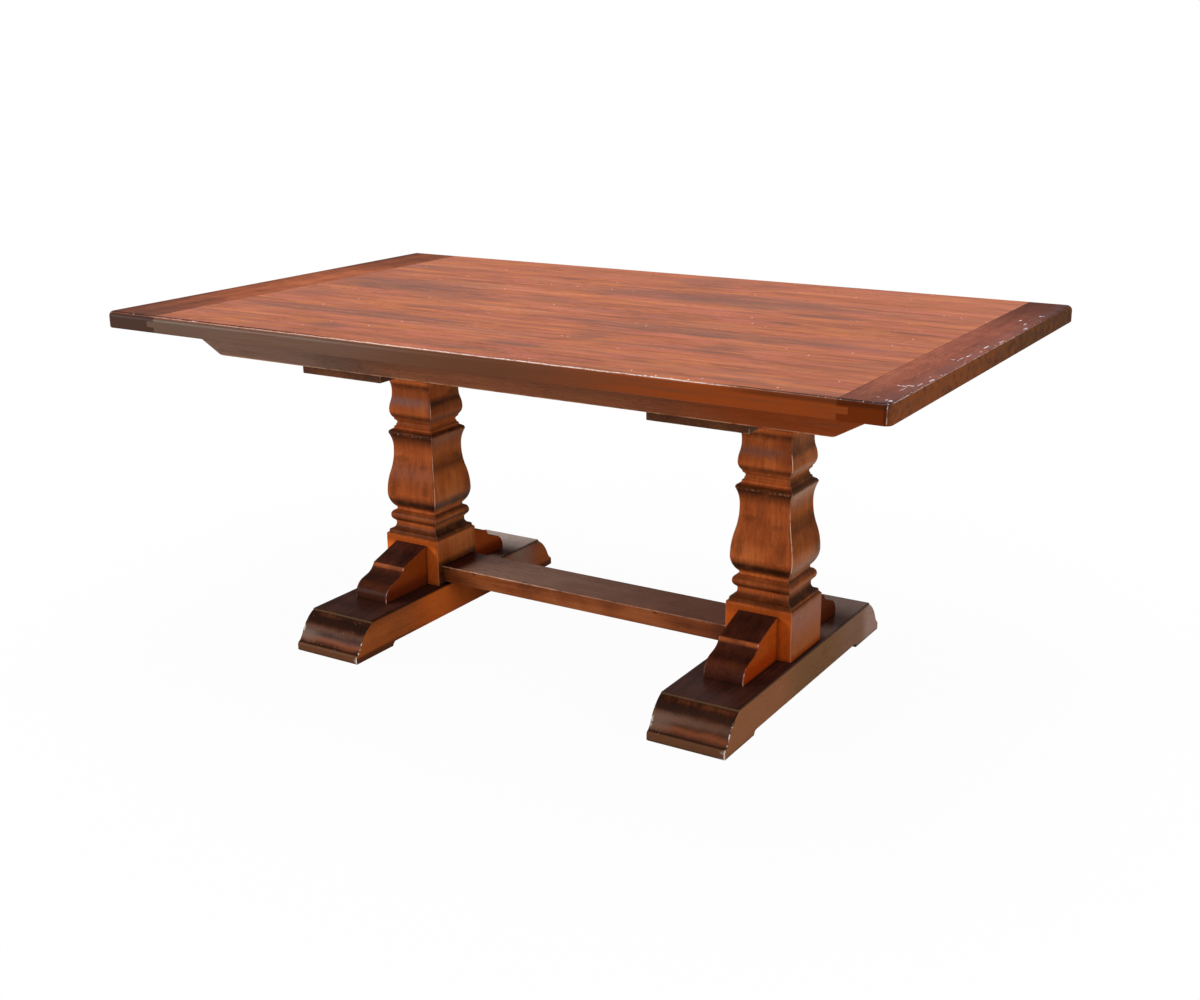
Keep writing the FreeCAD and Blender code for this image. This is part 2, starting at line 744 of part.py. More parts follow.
# Feet
def make_foot():
    """Right foot: moulded ends, two pads and a relieved sole between them."""
    end = foot_length / 2
    pad = end - foot_pad_length
    lift = foot_relief_height
    cove_inset = lift * (1 - 1 / sqrt(2))
    nose_top = (end - foot_nose_step, foot_nose_height)
    sweep_low = (nose_top[0] - foot_nose_ledge, foot_nose_height)
    sweep_high = (end - foot_end_run + foot_end_ledge, foot_height - foot_end_fillet)
    rise = (sweep_low[0] - sweep_high[0], sweep_low[1] - sweep_high[1])
    turn = tuple(high + step * share for high, step, share in zip(sweep_high, rise, foot_sweep_turn_shares))
    hollow_bow = foot_hollow_bow_share * hypot(turn[0] - sweep_low[0], turn[1] - sweep_low[1])
    sweep_bow = foot_sweep_bow_share * hypot(turn[0] - sweep_high[0], turn[1] - sweep_high[1])
    nose_start = (end, foot_nose_height - foot_nose_round)
    steps = [((pad - lift, lift),),
             ((pad - lift + lift / sqrt(2), lift - cove_inset), (pad, 0)),
             ((end - foot_sole_ease, 0),),
             ((end, foot_sole_ease),),
             (nose_start,),
             from_upright(nose_start, nose_top),
             (sweep_low,),
             bowed(sweep_low, turn, hollow_bow),
             bowed(turn, sweep_high, -sweep_bow),
             ((end - foot_end_run, foot_height - foot_end_fillet),),
             ((end - foot_end_run, foot_height),),
             ((0, foot_height),)]
    outline = outline_face(side_point, (0, lift), both_sides((0, lift), steps))
    x0 = pedestal_place - foot_width / 2
    beam = swept(outline, V(foot_width, 0, 0), V(x0, 0, 0))
    section = eased_cross_bar(x0, x0 + foot_width, -end, end, 0, foot_height,
                              foot_sole_ease, foot_edge_radius)
    foot = beam.common(section)
    cuts = [foot_tenon(joint_clearance)] + foot_lags(hole_clearance) + bracket_screws(hole_clearance)
    lag_pocket_width = foot_lag_head_width / cos(pi / 6) + hole_clearance
    for x, y in foot_lag_places():
        cuts.append(rod(lag_pocket_width, V(x, y, 0), V(x, y, foot_lag_seat_z)))
    return foot.cut(cuts).removeSplitter()


def make_foot_lags():
    lags = []
    for (x, y), shank in zip(foot_lag_places(), foot_lags(0)):
        head = hexagon(foot_lag_head_width, V(x, y, foot_lag_seat_z - foot_lag_head_height),
                       V(x, y, foot_lag_seat_z))
        lags.append(head.fuse(shank))
    return lags


# Brackets between the plinths and the feet
def bracket_screw_places():
    places = []
    for share in bracket_screw_shares:
        y = plinth_half + share * bracket_length
        places += [(pedestal_place, -y), (pedestal_place, y)]
    return places


def bracket_screws(grown):
    """Screws up through the right foot into its brackets, flush in its sole, or their holes when grown."""
    length = foot_height - foot_relief_height + bracket_screw_reach
    return [wood_screw(V(x, y, foot_relief_height), V(0, 0, 1), bracket_screw_diameter,
                       bracket_screw_head_diameter, bracket_screw_head_height, length, grown)
            for x, y in bracket_screw_places()]


def bracket_dowels(grown):
    """Dowels between the right plinth and its brackets, or their holes when grown."""
    half = bracket_dowel_length / 2 + grown
    z = foot_height + bracket_dowel_height_share * bracket_height
    dowels = []
    for x in (pedestal_place - bracket_dowel_spacing / 2, pedestal_place + bracket_dowel_spacing / 2):
        for y in (-plinth_half, plinth_half):
            dowels.append(rod(bracket_dowel_diameter + grown, V(x, y - half, z), V(x, y + half, z)))
    return dowels


def make_bracket():
    """Back bracket of the right foot: a slope, a crease, a hollow and a rounded nose."""
    def at(shares):
        return (plinth_half + shares[0] * bracket_length, foot_height + shares[1] * bracket_height)

    nose = at(bracket_nose_shares)
    steps = [(at((1, 0)),),
             (nose,),
             from_upright(nose, at(bracket_brow_shares)),
             (at(bracket_turn_shares),),
             (at(bracket_hollow_shares), at(bracket_crease_shares)),
             (at((0, 1)),)]
    outline = outline_face(side_point, at((0, 0)), steps)
    x0 = pedestal_place - bracket_width / 2
    bracket = swept(outline, V(bracket_width, 0, 0), V(x0, 0, 0))
    return bracket.cut(bracket_screws(hole_clearance) + bracket_dowels(hole_clearance)).removeSplitter()


# Stretcher and its hanger bolts
def make_stretcher():
    """Flat rail between the plinths, tenoned at each end, with nut pockets cut from below."""
    bar = eased_bar(-stretcher_shoulder_x, stretcher_shoulder_x, -stretcher_width / 2, stretcher_width / 2,
                    stretcher_bottom_z, stretcher_top_z, stretcher_edge_radius, stretcher_edge_radius)
    cuts = stretcher_bolts(hole_clearance)
    for y in (-stretcher_bolt_spacing / 2, stretcher_bolt_spacing / 2):
        cuts.append(block(pocket_wall_x - pocket_length, pocket_wall_x, y - pocket_width / 2,
                          y + pocket_width / 2, stretcher_bottom_z, stretcher_top_z - pocket_roof))
    cuts += [mirrored(cut) for cut in cuts]
    return bar.fuse(stretcher_tenon(0)).cut(cuts).removeSplitter()


def make_stretcher_nuts():
    nuts = []
    wall_x = pocket_wall_x - washer_thickness
    for y in (-stretcher_bolt_spacing / 2, stretcher_bolt_spacing / 2):
        start = V(wall_x - stretcher_nut_height, y, stretcher_middle_z)
        end = V(wall_x, y, stretcher_middle_z)
        nut = hexagon(stretcher_nut_width, start, end)
        nuts.append(nut.cut(rod(stretcher_bolt_diameter + hole_clearance, start, end)))
    return nuts


def make_stretcher_washers():
    z = stretcher_middle_z
    return [washer(stretcher_washer_diameter, stretcher_bolt_diameter + hole_clearance,
                   V(pocket_wall_x - washer_thickness, y, z), V(pocket_wall_x, y, z))
            for y in (-stretcher_bolt_spacing / 2, stretcher_bolt_spacing / 2)]


def save(name, shapes):
    """Write one named piece, or a group of alike pieces, to its own file."""
    solids = [solid for shape in shapes for solid in shape.Solids]
    result = solids[0] if len(solids) == 1 else Part.makeCompound(solids)
    result.exportStep(os.path.join("parts", name + ".step"))


def both_ends(shapes):
    """Pieces of the right pedestal together with their copies on the left."""
    return shapes + [mirrored(shape) for shape in shapes]


def build():
    os.makedirs("parts", exist_ok=True)
    blank = make_top_blank()
    for index, plank in enumerate(make_planks(blank)):
        save("top_plank_%d" % (index + 1), [plank])
    save("end_board_left", [make_end_board(blank, -1)])
    save("end_board_right", [make_end_board(blank, 1)])
    save("end_board_pegs", peg_set(peg_diameter, tongue_top_z + peg_bite))
    save("long_rail_front", [make_long_rail(-1)])
    save("long_rail_back", [make_long_rail(1)])
    cross_names = ("left_outer", "left_inner", "right_inner", "right_outer")
    for name, x0 in zip(cross_names, cross_rail_starts()):
        save("cross_rail_" + name, [make_cross_rail(x0)])
    save("top_buttons", make_buttons())
    save("button_screws", button_screws(0))
    save("plate_bolts", make_plate_bolts())
    save("plate_washers", make_plate_washers())
    save("threaded_inserts", make_inserts())
    save("post_screws", both_ends(post_screws(0)))
    save("foot_lag_screws", both_ends(make_foot_lags()))
    save("bracket_screws", both_ends(bracket_screws(0)))
    save("bracket_dowels", both_ends(bracket_dowels(0)))
    save("stretcher", [make_stretcher()])
    save("hanger_bolts", both_ends(stretcher_bolts(0)))
    save("hanger_nuts", both_ends(make_stretcher_nuts()))
    save("hanger_washers", both_ends(make_stretcher_washers()))
    right_pieces = {"pedestal_plate": make_plate(), "post": make_post(), "foot": make_foot()}
    for name, piece in right_pieces.items():
        save(name + "_right", [piece])
        save(name + "_left", [mirrored(piece)])
    back_bracket = make_bracket()
    front_bracket = turned_back(back_bracket)
    save("bracket_right_back", [back_bracket])
    save("bracket_right_front", [front_bracket])
    save("bracket_left_back", [mirrored(back_bracket)])
    save("bracket_left_front", [mirrored(front_bracket)])


build()
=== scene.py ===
import math
import bpy
from mathutils import Matrix, Vector


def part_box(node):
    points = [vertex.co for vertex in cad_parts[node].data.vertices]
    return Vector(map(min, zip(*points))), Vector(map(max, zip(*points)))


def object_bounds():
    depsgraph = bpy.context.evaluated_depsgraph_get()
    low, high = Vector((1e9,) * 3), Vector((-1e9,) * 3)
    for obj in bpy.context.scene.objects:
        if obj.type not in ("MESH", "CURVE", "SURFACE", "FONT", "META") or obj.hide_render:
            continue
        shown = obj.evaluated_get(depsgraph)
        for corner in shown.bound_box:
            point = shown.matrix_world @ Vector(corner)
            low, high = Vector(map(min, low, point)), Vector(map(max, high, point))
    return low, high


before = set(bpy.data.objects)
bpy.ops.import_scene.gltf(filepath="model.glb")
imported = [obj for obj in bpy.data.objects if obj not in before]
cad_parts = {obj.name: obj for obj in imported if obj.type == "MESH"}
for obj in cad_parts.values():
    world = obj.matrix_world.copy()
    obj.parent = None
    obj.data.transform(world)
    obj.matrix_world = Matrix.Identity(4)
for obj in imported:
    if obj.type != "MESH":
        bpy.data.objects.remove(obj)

cad_low, cad_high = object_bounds()

# Camera, as solved from the photo's corners for an image of 1200 by 1000 pixels
photo_width_px = 1200
focal_px = 1498.68
sensor_width_mm = 36.0
camera_place = Vector((1.68466, -2.69677, 1.30064))
camera_yaw = -0.55173
camera_pitch = 0.29547
camera_roll = 0.0078

# Where the pieces lie, in metres, from the frame
seam_left_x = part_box("end_board_left")[1].x
seam_right_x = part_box("end_board_right")[0].x
top_z = cad_high.z
half_length = cad_high.x
half_width = cad_high.y
rail_low_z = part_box("long_rail_front")[0].z
stretcher_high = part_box("stretcher")[1]
post_low, post_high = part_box("post_right")
pedestal_x = (post_low.x + post_high.x) / 2
foot_low, foot_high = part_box("foot_right")
foot_half_width = (foot_high.x - foot_low.x) / 2
bracket_low, bracket_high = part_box("bracket_right_front")
bracket_half_width = (bracket_high.x - bracket_low.x) / 2
bracket_tip_y = -bracket_low.y
crease_share = 0.44
crease_y = bracket_tip_y - crease_share * (bracket_high.y - bracket_low.y)

# Lamps: name, place, aim, width, height and power; the world's strength as a light
lamps = (
    ("key", (-3.9, -3.3, 1.3), (-0.2, 0.0, 0.5), 2.2, 1.8, 175.0),
    ("overhead", (0.1, 0.3, 3.3), (0.0, 0.0, 0.7), 3.0, 2.2, 72.0),
    ("right_fill", (5.6, -1.2, 1.5), (0.0, 0.0, 0.35), 2.4, 2.2, 135.0),
)
world_strength = 0.30

# Floor: half its length, its gap to the feet, its colour, and where and how far it glows white
floor_reach = 14.0
floor_gap = 0.0004
floor_color = (0.80, 0.80, 0.80)
floor_lit = (0.9, 2.0, 0.97, 1.0)
white = (1.0, 1.0, 1.0)

# Lacquer: weight of the coat on each kind of piece, and how rough it is
top_coat = 0.13
end_board_coat = 0.05
post_coat = 0.05
base_coat = 0.12
left_foot_coat = 0.06
bracket_coat = 0.04
coat_roughness = 0.26

# Roughness from the least to the most
wood_roughness = (0.42, 0.60)
metal_roughness = (0.28, 0.50)
bare_wood_roughness = 0.6

# Depth of the relief: the top is rubbed nearly flat
top_relief = 0.0001
base_relief = 0.0003
metal_relief = 0.0001

# Width and least angle of the edges that are softened
softened_width = 0.0012
softened_angle = math.radians(40.0)

# Tones at which a wood is dark, middle and light; how far a patch's edge wavers, and where it ends
shade_tones = (0.36, 0.50, 0.64)
patch_waver = 2.4
patch_edge = 1.25

# Colours; those of a wood's grain are dark, middle and light
field_colors = ((0.200, 0.070, 0.040), (0.395, 0.112, 0.052), (0.570, 0.190, 0.088))
field_streak = (0.165, 0.076, 0.060)
field_pink = (0.500, 0.140, 0.092)
field_orange = (0.560, 0.170, 0.050)
field_ash = (0.290, 0.125, 0.085)
left_board_colors = ((0.190, 0.058, 0.029), (0.355, 0.096, 0.041), (0.520, 0.158, 0.068))
right_board_colors = ((0.180, 0.058, 0.038), (0.278, 0.084, 0.052), (0.375, 0.120, 0.072))
corner_violet = (0.060, 0.034, 0.042)
# Painted sheen: violet along the right end board's outer edge
rim_violet_sheen = (0.140, 0.080, 0.082)
board_dark = (0.052, 0.016, 0.011)
board_front_dark = (0.064, 0.034, 0.030)
left_side_brown = (0.057, 0.027, 0.018)
flame_dark = (0.190, 0.058, 0.034)
# Painted reflection: the gray of the long edges at the left
sheen_gray_brown = (0.140, 0.076, 0.050)
plain_brown = (0.125, 0.043, 0.018)
strong_orange = (0.265, 0.048, 0.006)
rail_brown = (0.240, 0.076, 0.030)
# Painted reflection: the gray of the rails at the left
rail_sheen_gray = (0.190, 0.098, 0.066)
right_side_red = (0.066, 0.010, 0.004)
right_side_orange = (0.150, 0.025, 0.003)
end_orange = (0.220, 0.050, 0.005)
end_grain_front = (0.150, 0.044, 0.013)
end_grain_back = (0.085, 0.033, 0.012)
post_front_colors = ((0.280, 0.060, 0.016), (0.440, 0.096, 0.022), (0.590, 0.152, 0.038))
# Painted light: the posts' sides take copies of the front's colours, darker on the right post and lighter on
# the left one
post_right_side_shaded_colors = ((0.215, 0.050, 0.009), (0.350, 0.088, 0.018), (0.480, 0.140, 0.032))
post_left_side_lit_colors = ((0.310, 0.066, 0.012), (0.470, 0.116, 0.025), (0.620, 0.180, 0.042))
# Painted reflection: pale sheen on the posts' sides
post_painted_sheen = (0.330, 0.225, 0.165)
# Painted highlight on the posts' caps
cap_painted_highlight = (0.175, 0.066, 0.044)
plinth_mauve = (0.325, 0.130, 0.082)
plinth_brown = (0.325, 0.092, 0.026)
plinth_foot = (0.260, 0.050, 0.006)
plinth_orange = (0.390, 0.072, 0.010)
# Painted light: brighter orange low on the plinths' fronts, where the brackets and feet shade them
plinth_low_lit_orange = (0.660, 0.122, 0.014)
plinth_left_lit_orange = (0.900, 0.180, 0.026)
bracket_top_colors = ((0.032, 0.009, 0.006), (0.068, 0.018, 0.010), (0.118, 0.030, 0.015))
bracket_side_colors = ((0.280, 0.044, 0.004), (0.340, 0.058, 0.006), (0.400, 0.080, 0.010))
bracket_side_low = (0.300, 0.034, 0.003)
# Rust-coloured: along the brackets' edges, and as a painted highlight on their nose
rust_and_highlight = (0.330, 0.075, 0.020)
# Painted highlight on the brackets' crease
crease_highlight = (0.450, 0.110, 0.030)
foot_top_colors = ((0.040, 0.013, 0.009), (0.074, 0.024, 0.016), (0.120, 0.040, 0.025))
foot_end_colors = ((0.022, 0.008, 0.004), (0.058, 0.017, 0.008), (0.130, 0.036, 0.013))
foot_brown_colors = ((0.225, 0.080, 0.026), (0.250, 0.090, 0.030), (0.275, 0.104, 0.036))
foot_middle_brown = (0.172, 0.072, 0.020)
foot_back_brown = (0.200, 0.094, 0.050)
# Painted sheen on the feet's long sides, toward their back ends
foot_end_sheen_gray = (0.330, 0.205, 0.160)
# Painted reflection on the feet's tops, toward the back
foot_top_sheen_gray = (0.400, 0.275, 0.230)
foot_glow = (0.620, 0.125, 0.014)
foot_ledge = (0.200, 0.125, 0.066)
# Painted sheen on the feet's ends
foot_end_painted_sheen = (0.185, 0.090, 0.056)
# Painted sheen low on the feet's ends, at the left
foot_corner_sheen_gray = (0.190, 0.110, 0.080)
foot_left_sheen_gray = (0.800, 0.640, 0.560)
# Rust-coloured: a rubbed line on the feet's lip, and a painted highlight above their groove
foot_rust_and_highlight = (0.280, 0.078, 0.030)
foot_nose = (0.160, 0.062, 0.026)
foot_orange_colors = ((0.130, 0.032, 0.008), (0.330, 0.082, 0.017), (0.460, 0.135, 0.030))
# Painted reflection: the gray of the stretcher's top
stretcher_sheen_gray = (0.440, 0.240, 0.165)
stretcher_brown = (0.290, 0.105, 0.055)
# Painted shade on the stretcher's sides by the right bracket, and a painted dark reflection of the left
# plinth on its top
stretcher_shade_dark = (0.075, 0.018, 0.010)
stretcher_front_colors = ((0.120, 0.030, 0.009), (0.250, 0.064, 0.018), (0.360, 0.106, 0.032))
plate_colors = ((0.050, 0.018, 0.008), (0.092, 0.030, 0.011), (0.135, 0.044, 0.016))
bare_wood_colors = ((0.330, 0.190, 0.090), (0.450, 0.280, 0.140), (0.580, 0.390, 0.215))
glaze_brown = (0.016, 0.006, 0.003)
rubbed_tan = (0.600, 0.330, 0.185)
rubbed_pink = (0.780, 0.440, 0.300)
rubbed_white = (0.800, 0.720, 0.660)
chip_white = (0.780, 0.740, 0.800)
steel = (0.55, 0.56, 0.58)
brass = (0.72, 0.50, 0.20)

# Darker streaks of the field: middle X, middle Y, half length, half width, depth
field_streaks = (
    (-0.525, 0.064, 0.25, 0.090, 0.85),
    (-0.340, -0.010, 0.16, 0.035, 0.65),
    (0.245, 0.224, 0.40, 0.085, 0.80),
    (0.055, 0.430, 0.09, 0.110, 0.45),
    (0.345, -0.137, 0.45, 0.046, 0.75),
    (-0.400, -0.287, 0.34, 0.042, 0.75),
    (-0.150, 0.060, 0.10, 0.050, 0.45),
    (0.195, 0.444, 0.09, 0.020, 0.70),
    (0.085, -0.411, 0.08, 0.022, 0.75),
    (-0.355, -0.431, 0.08, 0.030, 0.65),
    (0.170, -0.271, 0.06, 0.045, 0.60),
    (0.455, -0.266, 0.05, 0.045, 0.60),
    (0.495, 0.138, 0.09, 0.022, 0.75),
    (-0.695, 0.333, 0.05, 0.014, 0.80),
    (-0.660, -0.120, 0.09, 0.050, 0.50),
)

# Where an end board darkens to the back and to the front, by Y: start, end, least and most share
board_back_shade = {"left": (0.14, 0.34, 0.0, 0.45), "right": (0.10, 0.50, 0.0, 0.80)}
board_front_shade = {"left": (-0.20, -0.52, 0.0, 0.66), "right": (-0.32, -0.53, 0.0, 0.45)}

# Bands round the top's outer edge, by depth below the top: from, to and how soft; the rubbed line and the
# worn corners are wear and a painted highlight at once
burnished_band = (0.0001, 0.0016, 0.0004)
rubbed_and_highlight_band = (0.0016, 0.0028, 0.0004)
fleck_band = (0.0004, 0.0034, 0.0006)
chip_band = (0.0024, 0.0056, 0.0008)
worn_and_highlight_corner_band = (0.0004, 0.0060, 0.0010)

# Bands down the right end board's front corner, by distance from the table's end
corner_rubbed_band = (0.0090, 0.0102, 0.0005)
corner_dark_band = (0.0106, 0.0150, 0.0014)

# Bands on a post, by height; the cap band is a painted highlight
plinth_band = (0.080, 0.189, 0.004)
lower_corner_band = (0.272, 0.395, 0.012)
post_lip_band = (0.4335, 0.4375, 0.0012)
upper_corner_band = (0.484, 0.516, 0.012)
cap_highlight_band = (0.515, 0.530, 0.009)

# Bands on a foot's ends, by height; the rust band is a painted highlight, the gray and sheen bands are
# painted sheen, and the dark band is painted shade
foot_groove_band = (0.0205, 0.0225, 0.0008)
foot_dots_band = (0.019, 0.025, 0.002)
foot_highlight_band = (0.026, 0.037, 0.006)
foot_corner_sheen_band = (0.026, 0.048, 0.006)
foot_chip_band = (0.030, 0.062, 0.006)
foot_painted_sheen_band = {"left": (0.049, 0.056, 0.006), "right": (0.042, 0.056, 0.006)}
foot_shade_band = {"left": (0.061, 0.078, 0.004), "right": (0.061, 0.072, 0.004)}
foot_lip_band = (0.0735, 0.0775, 0.0015)
foot_ledge_band = (0.0790, 0.0825, 0.0006)

# Painted sheen on a foot's top, a painted reflection: its colour and share, and where it lies, by Y, behind
# the bracket and beside it
foot_top_painted_sheen = {
    "left": (foot_left_sheen_gray, 1.0, (0.205, 0.275), (0.095, 0.165, 0.03)),
    "right": (foot_top_sheen_gray, 0.62, (0.20, 0.28), (0.09, 0.15, 0.03)),
}

# How thick the dark glaze and painted shade lie on the front of a post: height above the floor, share of full
# depth; the dark band at the top, under the plate, is painted shadow
post_glaze_and_shade = (
    (0.19, 0.0), (0.196, 0.78), (0.208, 0.76), (0.214, 0.27), (0.221, 0.0), (0.226, 0.86), (0.231, 0.68),
    (0.237, 0.32), (0.244, 0.66), (0.25, 0.0), (0.256, 0.0), (0.262, 0.82), (0.269, 0.965), (0.275, 0.9),
    (0.281, 0.49), (0.292, 0.1), (0.325, 0.3), (0.364, 0.32), (0.386, 0.06), (0.404, 0.18), (0.418, 0.58),
    (0.43, 0.9), (0.4425, 0.85), (0.448, 0.0), (0.456, 0.24), (0.468, 0.42), (0.479, 0.8), (0.488, 0.14),
    (0.502, 0.3), (0.54, 0.4), (0.552, 0.84), (0.561, 0.0))

# The same on the sides of the right post and of the left one; the left one's lowest stops are painted shadow
right_side_glaze_and_shade = (
    (0.178, 0.1), (0.19, 0.32), (0.196, 0.52), (0.204, 0.99), (0.211, 0.85), (0.217, 0.55), (0.234, 0.0),
    (0.241, 0.5), (0.246, 0.68), (0.252, 0.48), (0.258, 0.0), (0.268, 0.3), (0.28, 0.18), (0.294, 0.0),
    (0.312, 0.26), (0.342, 0.44), (0.356, 0.7), (0.372, 0.56), (0.388, 0.23), (0.404, 0.28), (0.433, 0.0),
    (0.438, 0.84), (0.444, 0.87), (0.456, 0.77), (0.468, 0.38), (0.48, 0.08), (0.493, 0.22), (0.506, 0.3),
    (0.516, 0.79), (0.524, 0.74), (0.549, 0.54), (0.563, 0.0))
left_side_glaze_and_shade = (
    (0.13, 0.95), (0.138, 0.81), (0.146, 0.38), (0.184, 0.2), (0.19, 0.1), (0.196, 0.88), (0.208, 0.98),
    (0.214, 0.78), (0.224, 0.25), (0.232, 0.92), (0.238, 0.32), (0.246, 0.78), (0.256, 0.0),
    (0.262, 0.32), (0.27, 0.985), (0.279, 0.78), (0.29, 0.1), (0.342, 0.16), (0.362, 0.68), (0.374, 0.5),
    (0.397, 0.12), (0.436, 0.52), (0.4425, 0.96), (0.448, 0.12), (0.454, 0.36), (0.46, 0.0),
    (0.478, 0.56), (0.486, 0.18), (0.504, 0.48), (0.514, 0.92), (0.522, 0.6), (0.531, 0.0))

# How strong the painted sheen, a painted reflection, is on the sides of the posts
post_side_painted_sheen = (
    (0.15, 0.0), (0.19, 0.1), (0.212, 0.0), (0.222, 0.2), (0.23, 0.35), (0.241, 0.0), (0.258, 0.3),
    (0.276, 0.7), (0.292, 0.3), (0.312, 0.0), (0.39, 0.0), (0.412, 0.3), (0.433, 1.0), (0.439, 0.1),
    (0.462, 0.0), (0.48, 0.6), (0.49, 0.1), (0.56, 0.05))

# Darker patches on the posts' faces: place along the face, height, half width, half height, depth
post_front_patches = (
    (-0.035, 0.374, 0.028, 0.011, 0.46),
    (0.030, 0.362, 0.026, 0.011, 0.48),
    (0.044, 0.318, 0.018, 0.030, 0.46),
    (-0.050, 0.315, 0.012, 0.045, 0.50),
    (0.000, 0.332, 0.012, 0.018, 0.38),
)
post_side_patches = (
    (0.030, 0.368, 0.026, 0.022, 0.66),
    (-0.030, 0.362, 0.018, 0.020, 0.50),
    (0.052, 0.300, 0.012, 0.040, 0.45),
    (0.036, 0.530, 0.034, 0.012, 0.60),
)

# Painted shade on the brackets' sides: how much of their lit colour shows, low down and high up
bracket_side_light = {
    "bracket_left_front": (0.34, 0.66),
    "bracket_left_back": (0.40, 1.00),
    "bracket_right_front": (0.95, 1.00),
    "bracket_right_back": (0.16, 0.22),
}

# How strong the rubbed and the burnished line are on the top's front edge, by X, and right edge, by Y; the
# rubbed line is wear and a painted highlight at once
front_rubbed_and_highlight = ((-0.885, 0.03), (-0.760, 0.05), (-0.740, 0.30), (-0.600, 0.28), (-0.500, 0.40),
                (-0.33, 0.5), (-0.2, 0.8), (-0.05, 0.95), (0.3, 1.0), (0.56, 0.85), (0.62, 0.12),
                (0.8, 0.04), (0.885, 0.04))
front_burnished = ((-0.885, 0.80), (-0.740, 0.90), (-0.420, 0.95), (-0.250, 0.45), (-0.120, 0.10),
                   (0.56, 0.0), (0.62, 0.85), (0.885, 0.95))
right_rubbed_and_highlight = ((-0.534, 0.04), (-0.524, 0.10), (-0.515, 0.80), (-0.400, 0.65), (-0.100, 0.52),
                (0.08, 0.45), (0.22, 0.18), (0.36, 0.05), (0.534, 0.02))
right_burnished = ((-0.534, 0.95), (-0.524, 0.80), (-0.515, 0.10), (0.200, 0.10), (0.400, 0.30),
                   (0.534, 0.60))

# White flakes near the right outer edge: middle X, middle Y, half length, half width, strength
right_flakes = (
    (0.873, -0.508, 0.0050, 0.0070, 1.0),
    (0.865, -0.502, 0.0025, 0.0080, 0.8),
    (0.846, -0.490, 0.0060, 0.0030, 0.8),
    (0.860, -0.418, 0.0016, 0.0200, 1.0),
    (0.852, -0.396, 0.0120, 0.0034, 1.0),
    (0.862, -0.388, 0.0090, 0.0030, 0.8),
    (0.872, -0.372, 0.0020, 0.0130, 0.9),
    (0.877, -0.330, 0.0018, 0.0180, 0.9),
    (0.852, -0.150, 0.0080, 0.0034, 0.9),
    (0.862, -0.140, 0.0018, 0.0180, 1.0),
    (0.866, -0.104, 0.0020, 0.0160, 1.0),
    (0.873, -0.060, 0.0030, 0.0090, 0.9),
    (0.868, -0.012, 0.0024, 0.0170, 1.0),
    (0.876, 0.052, 0.0026, 0.0180, 1.0),
    (0.882, 0.112, 0.0030, 0.0200, 1.0),
    (0.876, 0.206, 0.0028, 0.0180, 1.0),
    (0.862, 0.256, 0.0030, 0.0130, 0.9),
    (0.842, 0.290, 0.0036, 0.0100, 0.9),
    (0.866, 0.358, 0.0080, 0.0060, 0.9),
)


class Nodes:
    """The node tree of a material or a world, with short names for what it is made of."""

    def __init__(self, owner):
        owner.use_nodes = True
        self.tree = owner.node_tree
        self.tree.nodes.clear()

    def node(self, kind, values=(), **settings):
        made = self.tree.nodes.new(kind)
        for name, setting in settings.items():
            setattr(made, name, setting)
        for place, value in dict(values).items():
            self.feed(made.inputs[place], value)
        return made

    def feed(self, socket, value):
        if isinstance(value, bpy.types.NodeSocket):
            self.tree.links.new(value, socket)
        elif isinstance(value, tuple) and len(value) == 3 and socket.type == "RGBA":
            socket.default_value = (*value, 1.0)
        else:
            socket.default_value = value

    def math(self, operation, a, b=0.0, c=0.0):
        return self.node("ShaderNodeMath", {0: a, 1: b, 2: c}, operation=operation).outputs[0]

    def chain(self, operation, first, *others):
        for other in others:
            first = self.math(operation, first, other)
        return first

    def add(self, *parts):
        return self.chain("ADD", *parts)

    def minus(self, a, b):
        return self.math("SUBTRACT", a, b)

    def times(self, *factors):
        return self.chain("MULTIPLY", *factors)

    def most(self, *values):
        return self.chain("MAXIMUM", *values)

    def least(self, *values):
        return self.chain("MINIMUM", *values)

    def size(self, a):
        return self.math("ABSOLUTE", a)

    def plus(self, base, value, factor):
        """The base and, added to it, a value times a factor."""
        return self.math("MULTIPLY_ADD", value, factor, base)

    def weighed(self, *parts):
        """Sum of some values, each times its weight."""
        total = 0.0
        for value, weight in parts:
            total = self.plus(total, value, weight)
        return total

    def parts(self, vector):
        return self.node("ShaderNodeSeparateXYZ", {0: vector}).outputs[:3]

    def wave(self, turns):
        """How far a place lies from the middle of its turn, from 0 to 0.5."""
        return self.size(self.minus(self.math("FRACT", turns), 0.5))

    def step(self, value, start, end, low=0.0, high=1.0):
        """Smooth step from low to high while the value goes from start to end."""
        values = {"Value": value, "From Min": start, "From Max": end, "To Min": low, "To Max": high}
        made = self.node("ShaderNodeMapRange", values, interpolation_type="SMOOTHSTEP")
        return made.outputs["Result"]

    def window(self, value, low, high, soft):
        """1 between two values and 0 outside, with soft edges."""
        rise = self.step(value, low - soft, low + soft)
        fall = self.step(value, high - soft, high + soft, 1.0, 0.0)
        return self.times(rise, fall)


